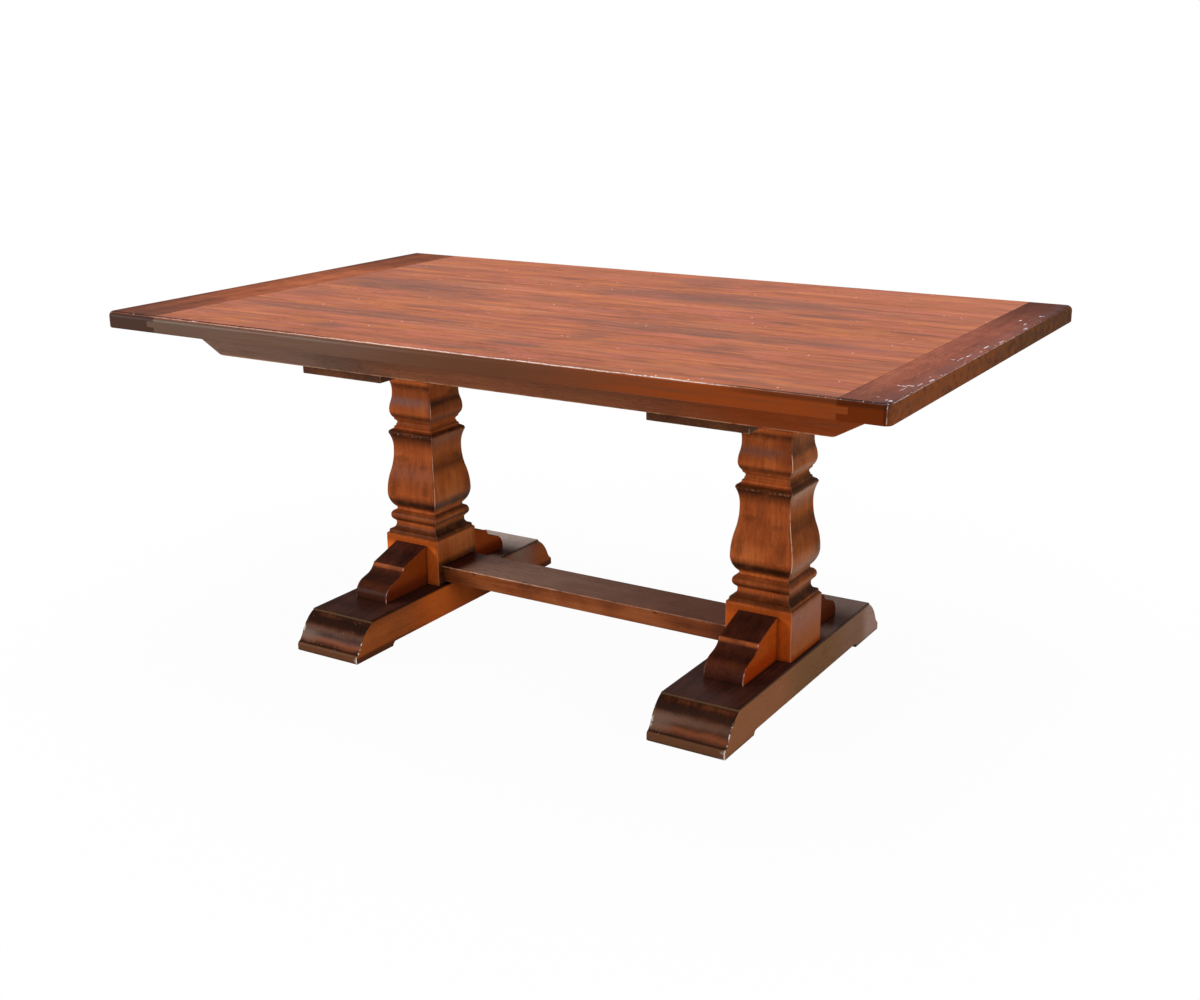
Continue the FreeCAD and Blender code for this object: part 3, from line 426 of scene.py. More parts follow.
class Paint(Nodes):
    """One material: its nodes, the place on the object, and the colour laid so far."""

    def __init__(self, name):
        self.material = bpy.data.materials.new(name)
        super().__init__(self.material)
        self.color = None
        self.x, self.y, self.z = self.parts(self.node("ShaderNodeTexCoord").outputs["Object"])

    def facing(self):
        """How much a face looks along X, along Y and along Z, each from 0 to 1."""
        normal = self.node("ShaderNodeNewGeometry").outputs["True Normal"]
        return [self.size(part) for part in self.parts(normal)]

    def space(self, lengths, seed=0.0, along=None):
        """Noise space with one unit for each of the given lengths along X, Y and Z."""
        places = along or (self.x, self.y, self.z)
        spots = [self.plus(seed * (index + 1.0), place, 1.0 / length)
                 for index, (place, length) in enumerate(zip(places, lengths))]
        return self.node("ShaderNodeCombineXYZ", dict(enumerate(spots))).outputs[0]

    def noise(self, vector, detail=2.0, roughness=0.5):
        values = {"Vector": vector, "Scale": 1.0, "Detail": detail, "Roughness": roughness}
        return self.node("ShaderNodeTexNoise", values).outputs[0]

    def clouds(self, length, seed, detail=3.0, roughness=0.6):
        return self.noise(self.space((length, length, length), seed), detail, roughness)

    def spotted(self, length, seed, start, end, low=0.0):
        """Ragged spots: low between them and 1 in them."""
        return self.step(self.clouds(length, seed, 4.0, 0.7), start, end, low)

    def dotted(self, length, seed, start, end, low=0.0):
        """Rounder spots: low between them and 1 in them."""
        return self.step(self.clouds(length, seed), start, end, low)

    def cells(self, vector):
        return self.node("ShaderNodeTexVoronoi", {"Vector": vector, "Scale": 1.0}).outputs["Distance"]

    def mix(self, share, a, b):
        made = self.node("ShaderNodeMix", data_type="RGBA")
        for place, value in ((0, share), (6, a), (7, b)):
            self.feed(made.inputs[place], value)
        return made.outputs[2]

    def layered(self, color, *layers):
        """A colour with layers over it: each is a colour and shares, whose product it covers."""
        for layer, *shares in layers:
            color = self.mix(self.times(*shares), color, layer)
        return color

    def lay(self, color, *shares):
        """Lays a colour over the material's, by the product of some shares."""
        self.color = self.layered(self.color, (color, *shares))

    def ramp(self, value, stops):
        made = self.node("ShaderNodeValToRGB", {0: value})
        elements = made.color_ramp.elements
        while len(elements) < len(stops):
            elements.new(0.5)
        for element, (position, color) in zip(elements, stops):
            element.position = position
            element.color = (*color, 1.0)
        return made.outputs[0]

    def shade(self, tone, colors):
        """Dark, middle or light colour of a wood, from its tone."""
        return self.ramp(tone, tuple(zip(shade_tones, colors)))

    def by_place(self, place, stops):
        """Share that follows a list of places and shares."""
        low, high = stops[0][0], stops[-1][0]
        values = {"Value": place, "From Min": low, "From Max": high}
        level = self.node("ShaderNodeMapRange", values).outputs["Result"]
        grays = [((spot - low) / (high - low), (share, share, share)) for spot, share in stops]
        return self.node("ShaderNodeRGBToBW", {0: self.ramp(level, grays)}).outputs[0]

    def openness(self, reach, inside=False):
        """1 on flat ground, and less where surfaces lie closer than a reach."""
        made = self.node("ShaderNodeAmbientOcclusion", {"Distance": reach}, samples=8, inside=inside,
                         only_local=inside)
        return made.outputs["AO"]

    def edges(self, reach):
        """Near 1 along convex edges, closer than a reach, and 0 on flat ground."""
        return self.step(self.openness(reach, inside=True), 0.92, 0.45)

    def recesses(self, reach):
        """Near 1 deep in grooves and corners, within a reach, and 0 in the open."""
        return self.step(self.openness(reach), 0.9, 0.35)

    def finish(self, roughness, height, bump_depth, coat, specular=0.0, metallic=0.0):
        bump = self.node("ShaderNodeBump", {"Height": height, "Distance": bump_depth, "Strength": 1.0})
        shader = self.node("ShaderNodeBsdfPrincipled", {
            "Base Color": self.color, "Roughness": roughness, "Normal": bump.outputs[0],
            "Metallic": metallic, "Specular IOR Level": specular, "Coat Weight": coat,
            "Coat Roughness": coat_roughness})
        self.node("ShaderNodeOutputMaterial", {0: shader.outputs[0]})
        return self.material


class Grain:
    """Figure of sawn wood: broad bands, streaks, growth lines and fine pores."""

    def __init__(self, paint, along, seed, line_spacing, streak_length):
        def stretched(lengths, shift):
            return paint.space(lengths, seed + shift, along)

        self.bands = paint.noise(stretched((3.2 * streak_length, 0.06, 0.06), 0.0), 3.0, 0.55)
        self.streaks = paint.noise(stretched((streak_length, 0.011, 0.011), 3.1), 4.0, 0.62)
        self.pores = paint.noise(stretched((0.022, 0.0011, 0.0011), 7.7), 2.0, 0.5)
        warp = paint.noise(stretched((0.2, 0.055, 0.055), 11.3), 3.0, 0.55)
        turns = paint.weighed((warp, 16.0), (along[1], 0.35 / line_spacing))
        figured = paint.step(paint.noise(stretched((0.24, 0.08, 0.08), 17.9), 2.0), 0.44, 0.6, 0.25, 1.0)
        self.lines = paint.times(paint.step(paint.wave(turns), 0.16, 0.03), figured)

    def height(self, paint):
        """Relief of the grain: pores and growth lines lie low."""
        return paint.minus(1.0, paint.weighed((self.pores, 0.6), (self.lines, 0.5)))


def finish_wood(paint, grain, coat, relief=base_relief):
    """Lacquered wood, a little rougher where its streaks are pale."""
    roughness = paint.step(grain.streaks, 0.2, 0.8, *wood_roughness)
    return paint.finish(roughness, grain.height(paint), relief, coat)


def specks(paint, spacing, radius, share, seed, stretch=(1.0, 1.0)):
    """Small marks of a given radius, drawn out along X and Y, on a share of the ground."""
    space = paint.space((spacing * stretch[0], spacing * stretch[1], spacing), seed)
    dots = paint.step(paint.cells(space), radius / spacing, radius / spacing * 0.5)
    keep = paint.step(paint.clouds(0.07, seed + 5.0, 1.0), 0.74 - share, 0.78 - share)
    return paint.times(dots, keep)


def patches(paint, u, v, waver, places):
    """Soft patches with wavering edges: middle U, middle V, half length, half width and depth of each."""
    shade = 0.0
    for middle_u, middle_v, reach, width, depth in places:
        away_u = paint.plus(-middle_u / reach, u, 1.0 / reach)
        away_v = paint.plus(-middle_v / width, v, 1.0 / width)
        away = paint.plus(paint.times(away_v, away_v), away_u, away_u)
        away = paint.plus(paint.minus(away, 0.5 * patch_waver), waver, patch_waver)
        shade = paint.most(shade, paint.step(away, patch_edge, 0.0, 0.0, depth))
    return shade


def field_shade(paint):
    """Soft dark streaks of the whole field, drawn out along the planks."""
    waver = paint.noise(paint.space((0.1, 0.026, 1.0), 2.3), 4.0, 0.65)
    return patches(paint, paint.x, paint.y, waver, field_streaks)


def flame(paint, seed):
    """Feathery curved figure of the field, in patches."""
    warp = paint.noise(paint.space((0.11, 0.06, 1.0), seed), 2.0, 0.5)
    fine = paint.noise(paint.space((0.1, 0.018, 1.0), seed + 4.0), 3.0, 0.5)
    turns = paint.weighed((fine, 1.1), (warp, 9.0), (paint.y, 14.0))
    here = paint.noise(paint.space((0.24, 0.11, 1.0), seed + 8.0), 2.0, 0.5)
    return paint.times(paint.step(paint.wave(turns), 0.24, 0.05), paint.step(here, 0.47, 0.6))


def top_wear_and_highlights(paint, place, rubbed, burnished, least=0.35):
    """Round the top's outer edge: a burnished line, a rubbed line under it that is also a painted highlight,
    chips, and worn corners with a painted highlight.
    """
    below = paint.minus(top_z, paint.z)
    on_round = paint.step(below, 0.0001, 0.0004)
    waver = paint.minus(paint.clouds(0.03, 1.7, 4.0), 0.5)
    level = paint.plus(below, waver, -0.0022)
    paint.lay(glaze_brown, paint.window(level, *burnished_band), paint.by_place(place, burnished), on_round)
    broken = paint.spotted(0.012, 6.1, 0.36, 0.56, least)
    # Rubbed line: wear and a painted highlight on the rounded edge
    paint.lay(rubbed_white, paint.window(level, *rubbed_and_highlight_band), broken, paint.by_place(place, rubbed))
    flecks = paint.dotted(0.007, 3.4, 0.64, 0.69)
    paint.lay(rubbed_white, paint.window(level, *fleck_band), flecks, on_round, 0.8)
    chips = paint.dotted(0.009, 9.4, 0.6, 0.66)
    paint.lay(glaze_brown, paint.window(level, *chip_band), chips, 0.75)
    from_end = paint.minus(half_length, paint.size(paint.x))
    from_side = paint.minus(half_width, paint.size(paint.y))
    corner = paint.step(paint.add(from_end, from_side), 0.015, 0.01)
    bitten = paint.spotted(0.01, 4.8, 0.4, 0.54)
    more_at_right = paint.step(paint.x, 0.0, 0.5, 0.15, 0.9)
    # Pale corners: wear and a painted highlight where the edge turns round the corner
    paint.lay(rubbed_white, corner, bitten, paint.window(below, *worn_and_highlight_corner_band), more_at_right)


def edge_colors(paint, grain):
    """Colour of the top's long edges: gray-brown at the left, where the gray is a painted reflection, plain
    in the middle, orange at the right.
    """
    return paint.layered(
        sheen_gray_brown,
        (plain_brown, paint.step(paint.x, -0.4, 0.1)),
        (glaze_brown, paint.step(paint.x, -0.4, -0.74, 0.0, 0.22)),
        (strong_orange, paint.step(paint.x, 0.1, 0.55)),
        (plain_brown, paint.step(grain.streaks, 0.45, 0.7, 0.0, 0.55)))


def dark_arris(paint, color):
    """Darker upper part of the top's front edge at the right."""
    upper = paint.step(paint.minus(top_z, paint.z), 0.013, 0.0065)
    return paint.layered(color, (glaze_brown, upper, paint.step(paint.x, 0.54, 0.68, 0.0, 0.55)))


def below_arris(paint):
    """1 on the top's sides, from a little below its upper edge: higher up at the right."""
    raised = paint.plus(paint.minus(top_z, paint.z), paint.step(paint.x, 0.55, 0.64), 0.0014)
    return paint.step(raised, 0.0024, 0.0044)


def plank_paint(index):
    """Field plank: glossy orange-brown with the streaks of the field and its own grain."""
    paint = Paint("plank_%d" % index)
    seed = 1.37 * index
    grain = Grain(paint, (paint.x, paint.y, paint.z), seed, 0.008, 0.26)

    def figure(length, width, shift, detail=3.0, roughness=0.55):
        return paint.noise(paint.space((length, width, length), seed + shift), detail, roughness)

    mottle = figure(0.2, 0.034, 31.0, 2.0, 0.5)
    fine = figure(0.2, 0.015, 37.0, 4.0, 0.65)
    tone = paint.weighed((grain.bands, 0.3), (grain.streaks, 0.26), (mottle, 0.2))
    paint.color = paint.shade(paint.plus(paint.minus(tone, 0.08), fine, 0.4), field_colors)
    blush = figure(0.15, 0.034, 43.0)
    paint.lay(field_pink, paint.step(blush, 0.5, 0.66, 0.0, 0.5))
    paint.lay(field_orange, paint.step(blush, 0.48, 0.34, 0.0, 0.5))
    paint.lay(field_ash, paint.step(figure(0.3, 0.026, 51.0, 3.0, 0.6), 0.5, 0.64, 0.0, 0.34))
    paint.lay(field_streak, field_shade(paint), paint.step(grain.streaks, 0.3, 0.62, 1.0, 0.6))
    paint.lay(flame_dark, flame(paint, seed), paint.step(paint.x, 0.45, 0.15, 0.14, 0.26))
    many = paint.step(figure(0.26, 0.09, 19.0, 2.0, 0.5), 0.42, 0.6, 0.25, 1.0)
    paint.lay(field_streak, paint.step(figure(0.14, 0.012, 15.0), 0.6, 0.7), many,
              paint.step(paint.x, -0.3, 0.2, 0.42, 0.62))
    paint.lay(board_dark, paint.step(grain.pores, 0.54, 0.72, 0.0, 0.4))
    low_y, high_y = (corner.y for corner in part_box("top_plank_%d" % index))
    seam = paint.least(paint.minus(paint.y, low_y), paint.minus(high_y, paint.y))
    paint.lay(board_dark, paint.step(seam, 0.0014, 0.0, 0.0, 0.2))
    dots = specks(paint, 0.022, 0.0015, 0.28, 4.4, (1.1, 3.0))
    scratches = specks(paint, 0.03, 0.0011, 0.16, 8.1, (3.5, 1.2))
    cluster = paint.times(specks(paint, 0.013, 0.0011, 0.34, 1.9, (1.2, 2.0)),
                          paint.window(paint.x, 0.52, 0.76, 0.05), paint.window(paint.y, 0.04, 0.36, 0.06))
    paint.lay(rubbed_white, paint.most(dots, scratches, cluster), 0.72)
    top_wear_and_highlights(paint, paint.x, front_rubbed_and_highlight, front_burnished)
    paint.lay(dark_arris(paint, edge_colors(paint, grain)), below_arris(paint))
    return finish_wood(paint, grain, top_coat, top_relief)


def right_board_wear(paint):
    """Flakes, a painted violet sheen along the outer edge, and a darker violet front corner of the right end
    board's upper face.
    """
    from_end = paint.minus(half_length, paint.x)
    from_front = paint.add(half_width, paint.y)
    sheen_spots = paint.dotted(0.045, 3.7, 0.36, 0.58, 0.35)
    # Painted sheen, in spots, along the outer end
    paint.lay(rim_violet_sheen, paint.step(from_end, 0.044, 0.01), sheen_spots, 0.42)
    corner = paint.step(paint.plus(from_end, from_front, 1.5), 0.08, 0.016)
    along_front = paint.step(from_front, 0.016, 0.005, 0.0, 0.55)
    paint.lay(corner_violet, paint.most(corner, along_front), 0.75)
    waver = paint.noise(paint.space((0.005, 0.009, 1.0), 6.6), 4.0, 0.7)
    flakes = paint.step(patches(paint, paint.x, paint.y, waver, right_flakes), 0.44, 0.7)
    flakes = paint.times(flakes, paint.dotted(0.007, 8.8, 0.42, 0.58, 0.2))
    small = paint.times(specks(paint, 0.011, 0.0013, 0.3, 6.3, (1.1, 2.2)),
                        paint.step(from_end, 0.06, 0.012), paint.step(paint.y, 0.42, 0.25))
    paint.lay(chip_white, paint.most(flakes, small), 0.9)


def corner_line(paint):
    """Thin rubbed line down the right end board's front corner, with a dark one beside it."""
    on_corner = paint.step(paint.add(half_width, paint.y), 0.006, 0.004)
    from_end = paint.plus(paint.minus(half_length, paint.x), paint.clouds(0.012, 2.9), 0.004)
    dots = paint.dotted(0.0055, 4.8, 0.46, 0.58, 0.15)
    paint.lay(rubbed_white, paint.window(from_end, *corner_rubbed_band), on_corner, dots, 0.5)
    paint.lay(glaze_brown, paint.window(from_end, *corner_dark_band), on_corner, 0.45)


def end_board_paint(side):
    """End board: darker, with its grain across the table, and the most knocks along its outer edge."""
    paint = Paint("end_board_" + side)
    left = side == "left"
    grain = Grain(paint, (paint.y, paint.x, paint.z), 3.9 if left else 8.2, 0.008, 0.14)
    mottle = paint.clouds(0.05, 12.0 if left else 14.0)
    tone = paint.weighed((grain.bands, 0.4), (grain.streaks, 0.3), (mottle, 0.3))
    paint.color = paint.shade(tone, left_board_colors if left else right_board_colors)
    paint.lay(board_dark, paint.step(paint.y, *board_back_shade[side]))
    paint.lay(board_front_dark, paint.step(paint.y, *board_front_shade[side]))
    paint.lay(board_dark, grain.lines, 0.22)
    paint.lay(board_dark, paint.step(grain.pores, 0.52, 0.72, 0.0, 0.4))
    seam = paint.size(paint.minus(paint.x, seam_left_x if left else seam_right_x))
    paint.lay(glaze_brown, paint.step(seam, 0.002, 0.0, 0.0, 0.7))
    if left:
        from_end = paint.add(half_length, paint.x)
        paint.lay(board_dark, paint.step(from_end, 0.068, 0.01, 0.0, 0.5))
        top_wear_and_highlights(paint, paint.x, front_rubbed_and_highlight, front_burnished, 0.1)
        side_color = left_side_brown
    else:
        right_board_wear(paint)
        top_wear_and_highlights(paint, paint.y, right_rubbed_and_highlight, right_burnished, 0.05)
        side_color = paint.mix(paint.step(mottle, 0.36, 0.52), right_side_red, right_side_orange)
        side_color = dark_arris(paint, side_color)
    marks = paint.noise(paint.space((0.02, 0.022, 0.016), 5.5), 4.0, 0.65)
    end_color = paint.layered(
        end_grain_front,
        (end_grain_back, paint.step(paint.y, -0.25, 0.3)),
        (board_dark, paint.step(marks, 0.5, 0.64, 0.0, 0.6)),
        (end_orange, paint.step(marks, 0.46, 0.36, 0.0, 0.4)))
    side_color = paint.layered(side_color, (end_color, paint.step(paint.facing()[0], 0.3, 0.7)))
    paint.lay(side_color, below_arris(paint))
    if not left:
        corner_line(paint)
    return finish_wood(paint, grain, end_board_coat, top_relief)


def stained(paint, axis, seed, cloud_share=0.4):
    """Grain of a base piece along an axis, and its tone with soft clouds of stain."""
    x, y, z = paint.x, paint.y, paint.z
    along, across, through = {"X": (x, z, y), "Y": (y, z, x), "Z": (z, x, y)}[axis]
    places = (along, paint.add(across, through), paint.minus(across, through))
    grain = Grain(paint, places, seed, 0.011, 0.16)
    clouds = paint.clouds(0.085, seed + 20.0, 2.0, 0.5)
    return grain, paint.weighed((grain.bands, 0.3), (grain.streaks, 0.7 - cloud_share), (clouds, cloud_share))


def by_facing(paint, front, side, top):
    """One colour on faces that look along Y, one along X and one along Z."""
    face_x, _, face_z = paint.facing()
    return paint.layered(front, (side, paint.step(face_x, 0.55, 0.8)), (top, paint.step(face_z, 0.6, 0.85)))


def age_and_shade(paint, grain, glaze_and_shade_share, reach):
    """Dark glaze on growth lines and pores; in recesses within a reach, dark glaze together with painted
    shade where surfaces lie close, also between parts.
    """
    paint.lay(glaze_brown, grain.lines, 0.22)
    paint.lay(glaze_brown, paint.step(grain.pores, 0.54, 0.74, 0.0, 0.35))
    # Painted shade from ambient occlusion, with the glaze in hollows
    paint.lay(glaze_brown, paint.recesses(reach), glaze_and_shade_share)


def rub_edges(paint, seed):
    """Broken pale lines along all edges."""
    broken = paint.spotted(0.022, seed + 31.0, 0.48, 0.6)
    paint.lay(rubbed_tan, paint.edges(0.003), broken, 0.5)


def post_corners(paint, along_front, seed):
    """Rubbed line down a post's corners, with a dark one beside it, strongest where the faces are plain."""
    from_corner = paint.size(paint.minus(paint.size(along_front), paint.size(paint.y)))
    lower = paint.times(paint.window(paint.z, *lower_corner_band), 0.9)
    plain = paint.most(paint.window(paint.z, *upper_corner_band), lower, 0.16)
    broken = paint.spotted(0.022, seed + 41.0, 0.34, 0.52, 0.15)
    paint.lay(rubbed_pink, paint.step(from_corner, 0.0019, 0.0008), broken, plain, 0.85)
    paint.lay(glaze_brown, paint.window(from_corner, 0.0024, 0.0046, 0.001), plain, 0.3)


def post_paint(side):
    """Post: orange wood, dark glaze and painted shade in its grooves, darker and lighter painted copies of
    its colour on its sides, a painted highlight on the cap, painted sheen on its sides, rubbed corners and a
    plain plinth with painted light low on its front.
    """
    paint = Paint("post_" + side)
    right = side == "right"
    seed = 6.0 if right else 1.0
    grain, tone = stained(paint, "Z", seed)
    face_x, face_y, _ = paint.facing()
    on_side = paint.step(paint.minus(face_x, face_y), -0.1, 0.1)
    on_front = paint.minus(1.0, on_side)
    along_front = paint.minus(paint.x, pedestal_x if right else -pedestal_x)
    # Painted shade: the left post's front is darkened a little
    front_color = paint.layered(paint.shade(tone, post_front_colors), (glaze_brown, 0.0 if right else 0.11))
    # Painted light: the right post's sides take a darker copy of the front's colours, the left post's sides a
    # lighter one
    side_color = paint.shade(tone, post_right_side_shaded_colors if right else post_left_side_lit_colors)
    paint.color = paint.mix(on_side, front_color, side_color)
    on_plinth = paint.window(paint.z, *plinth_band)
    orange = paint.layered(
        plinth_orange,
        # Painted light low on the plinth's front
        (plinth_low_lit_orange if right else plinth_left_lit_orange, paint.step(paint.z, 0.182, 0.162)),
        (plinth_foot, paint.step(tone, 0.42, 0.56, 0.25, 0.0)))
    paint.lay(orange, on_plinth, on_front)
    if right:
        plinth = paint.layered(
            plinth_brown,
            (plinth_mauve, paint.step(paint.z, 0.1, 0.165)),
            (plinth_foot, paint.step(paint.z, 0.102, 0.088)))
        paint.lay(plinth, on_plinth, on_side, 0.9)
    waver = paint.clouds(0.035, seed + 9.0)
    front_dark = paint.most(paint.by_place(paint.z, post_glaze_and_shade),
                            patches(paint, along_front, paint.z, waver, post_front_patches))
    side_dark = paint.most(paint.by_place(paint.z, right_side_glaze_and_shade if right else left_side_glaze_and_shade),
                           patches(paint, paint.y, paint.z, waver, post_side_patches))
    dark = paint.plus(front_dark, on_side, paint.minus(side_dark, front_dark))
    # Dark glaze in the grooves, together with painted shade
    paint.lay(glaze_brown, dark, paint.step(waver, 0.25, 0.55, 0.75, 1.0))
    # Painted highlight: blue-gray on the cap's upper hollow, at the front
    on_cap_highlight = paint.window(paint.plus(paint.z, waver, 0.014), *cap_highlight_band)
    paint.lay(cap_painted_highlight, on_cap_highlight, paint.step(along_front, 0.06, 0.01), on_front, 0.85)
    # Painted reflection on the posts' sides, stronger on the right post
    paint.lay(post_painted_sheen, paint.by_place(paint.z, post_side_painted_sheen), on_side, 0.8 if right else 0.3)
    age_and_shade(paint, grain, 0.45, 0.014)
    post_corners(paint, along_front, seed)
    dots = paint.step(paint.clouds(0.007, seed + 2.0, 2.0), 0.52, 0.66)
    paint.lay(rubbed_tan, paint.window(paint.z, *post_lip_band), dots, 0.28)
    return finish_wood(paint, grain, post_coat)


def foot_side_color(paint, tone, left):
    """Colour of a foot's long side: it changes from front to back, with a painted sheen toward the back end.
    """
    long_colors = foot_orange_colors if left else foot_brown_colors
    color = paint.mix(0.55, paint.shade(tone, long_colors), long_colors[1])
    if left:
        upper = paint.step(paint.plus(paint.z, tone, 0.03), 0.074, 0.094)
        return paint.layered(
            color,
            (foot_end_colors[1], upper, 0.35),
            (foot_end_colors[0], paint.step(paint.z, 0.02, 0.011), 0.7),
            (foot_glow, paint.window(paint.y, -0.16, 0.08, 0.06), 0.75),
            # Painted sheen
            (foot_end_sheen_gray, paint.window(paint.y, 0.2, 0.29, 0.06), 0.9))
    return paint.layered(
        color,
        (foot_middle_brown, paint.step(paint.y, -0.16, -0.02)),
        (foot_back_brown, paint.step(paint.y, 0.08, 0.24)),
        # Painted sheen
        (foot_end_sheen_gray, paint.step(paint.y, 0.275, 0.335), 0.85))


def foot_end_color(paint, tone, across, level, side):
    """Colour of a foot's moulded ends: bands that follow the moulding, with painted sheen, painted shade and
    a painted highlight among them.
    """
    left = side == "left"
    return paint.layered(
        paint.shade(tone, foot_end_colors),
        # Painted sheen
        (foot_end_painted_sheen, paint.window(level, *foot_painted_sheen_band[side]),
         paint.step(across, 0.07, -0.07, 0.55, 0.8 if left else 1.0)),
        # Painted shade under the top bead
        (foot_end_colors[0], paint.window(level, *foot_shade_band[side]), 0.9 if left else 0.75),
        # Painted highlight above the groove
        (foot_rust_and_highlight, paint.window(level, *foot_highlight_band), 0.75),
        # Painted sheen at the left
        (foot_corner_sheen_gray, paint.window(level, *foot_corner_sheen_band), paint.step(across, -0.02, -0.07), 0.8),
        (foot_rust_and_highlight, paint.window(paint.z, *foot_lip_band), paint.step(tone, 0.46, 0.58), 0.22),
        (foot_nose, paint.step(paint.z, 0.0225, 0.0205), 0.85))


def foot_chips(paint, across, seed):
    """Chips along the two upright edges of a foot's front end: dots at the right, patches at the left."""
    from_right = paint.minus(foot_half_width, across)
    fine = paint.clouds(0.0075, seed + 3.0, 3.0, 0.6)
    low = paint.step(paint.z, 0.024, 0.006, 0.0, 0.12)
    dots = paint.times(paint.step(from_right, 0.0034, 0.0016), paint.step(paint.add(fine, low), 0.53, 0.59))
    wide = paint.times(paint.step(from_right, 0.014, 0.004), paint.step(paint.z, 0.022, 0.01),
                       paint.step(fine, 0.48, 0.6, 0.0, 0.7))
    coarse = paint.dotted(0.014, seed + 6.0, 0.44, 0.56)
    at_left = paint.times(paint.step(paint.add(foot_half_width, across), 0.006, 0.002), coarse,
                          paint.window(paint.z, *foot_chip_band))
    return paint.times(paint.most(dots, wide, at_left), paint.step(paint.z, 0.07, 0.062))


def foot_paint(side):
    """Foot: nearly black-brown on top with a painted sheen toward the back, banded ends with rubbed and
    chipped corners, paler long sides.
    """
    paint = Paint("foot_" + side)
    left = side == "left"
    seed = 3.0 if left else 8.0
    grain, tone = stained(paint, "Y", seed)
    face_x = paint.facing()[0]
    across = paint.minus(paint.x, -pedestal_x if left else pedestal_x)
    level = paint.plus(paint.minus(paint.z, 0.006), paint.clouds(0.03, seed + 12.0, 3.0), 0.012)
    on_end = paint.step(paint.size(paint.y), foot_high.y - 0.0585, foot_high.y - 0.0565)
    # Painted sheen on the top's back part
    gray, sheen_share, behind, beside = foot_top_painted_sheen[side]
    pale = paint.most(paint.step(paint.y, *behind), paint.window(paint.y, *beside))
    paint.color = paint.layered(
        paint.shade(tone, foot_top_colors),
        (gray, pale, sheen_share),
        (foot_end_color(paint, tone, across, level, side), on_end),
        (foot_side_color(paint, tone, left), paint.step(face_x, 0.6, 0.85)))
    age_and_shade(paint, grain, 0.8, 0.014)
    from_long_edge = paint.add(paint.minus(foot_half_width, paint.size(across)),
                               paint.minus(foot_high.z, paint.z))
    paint.lay(glaze_brown, paint.step(from_long_edge, 0.0052, 0.003), paint.minus(1.0, on_end), 0.7)
    on_ends = paint.times(on_end, paint.step(face_x, 0.8, 0.6))
    on_front = paint.times(on_ends, paint.step(paint.y, -0.1, -0.2))
    paint.lay(foot_ledge, paint.window(paint.z, *foot_ledge_band), on_ends, 0.55)
    paint.lay(glaze_brown, paint.window(paint.z, *foot_groove_band), on_ends, 0.8)
    paint.lay(rubbed_white, foot_chips(paint, across, seed), on_front, 0.9)
    dots = specks(paint, 0.016, 0.0011, 0.26, seed + 1.0)
    more = paint.times(specks(paint, 0.008, 0.0011, 0.36, seed + 7.0), paint.window(paint.z, *foot_dots_band))
    paint.lay(rubbed_tan, paint.most(dots, more), on_front, 0.75)
    return finish_wood(paint, grain, left_foot_coat if left else base_coat)


def bracket_paint(name, seed, low_light, high_light):
    """Bracket: dark red-brown on its curved top with painted highlights on the crease and the nose, orange on
    its flat sides with painted shade, flecked along its edges.
    """
    paint = Paint(name)
    left = "left" in name
    side_x = -pedestal_x if left else pedestal_x
    grain, tone = stained(paint, "Y", seed)
    lit_color = paint.layered(
        paint.shade(tone, bracket_side_colors),
        (bracket_side_colors[1], 0.5),
        (bracket_side_low, paint.step(paint.z, 0.128, 0.1)))
    # Painted shade: the sides fall from the lit colour toward dark, low down and on brackets in shade
    side_color = paint.layered(
        glaze_brown, (lit_color, paint.step(paint.z, 0.098, 0.124, low_light, high_light)))
    out = paint.size(paint.y)
    uneven = paint.dotted(0.025, seed + 8.0, 0.35, 0.6, 0.5)
    top_color = paint.layered(
        paint.shade(tone, bracket_top_colors),
        (glaze_brown, paint.step(out, crease_y, crease_y + 0.02, 0.0, 0.35 if left else 0.0)),
        # Painted highlights on the crease and on the nose's brow
        (crease_highlight, paint.window(out, crease_y - 0.0005, crease_y + 0.0045, 0.0025), uneven, 0.9),
        (rust_and_highlight, paint.window(out, bracket_tip_y - 0.02, bracket_tip_y - 0.004, 0.008), uneven, 0.16))
    paint.color = by_facing(paint, top_color, side_color, top_color)
    age_and_shade(paint, grain, 0.7, 0.014)
    from_edge = paint.minus(bracket_half_width, paint.size(paint.minus(paint.x, side_x)))
    arris = paint.times(paint.step(from_edge, 0.0032, 0.0014), paint.step(paint.facing()[0], 0.96, 0.9),
                        paint.step(paint.x, side_x - 0.01, side_x + 0.01, 0.3, 1.0))
    broken = paint.spotted(0.01, seed + 31.0, 0.46, 0.58, 0.15)
    at_nose = paint.step(out, bracket_tip_y - 0.014, bracket_tip_y - 0.006)
    at_crease = paint.window(out, crease_y + 0.0005, crease_y + 0.003, 0.001)
    worn = paint.most(paint.times(at_nose, broken, 0.6), paint.times(at_crease, 0.7))
    paint.lay(rust_and_highlight, arris, broken, 0.6)
    paint.lay(rubbed_white, arris, worn, 0.55)
    return finish_wood(paint, grain, bracket_coat)


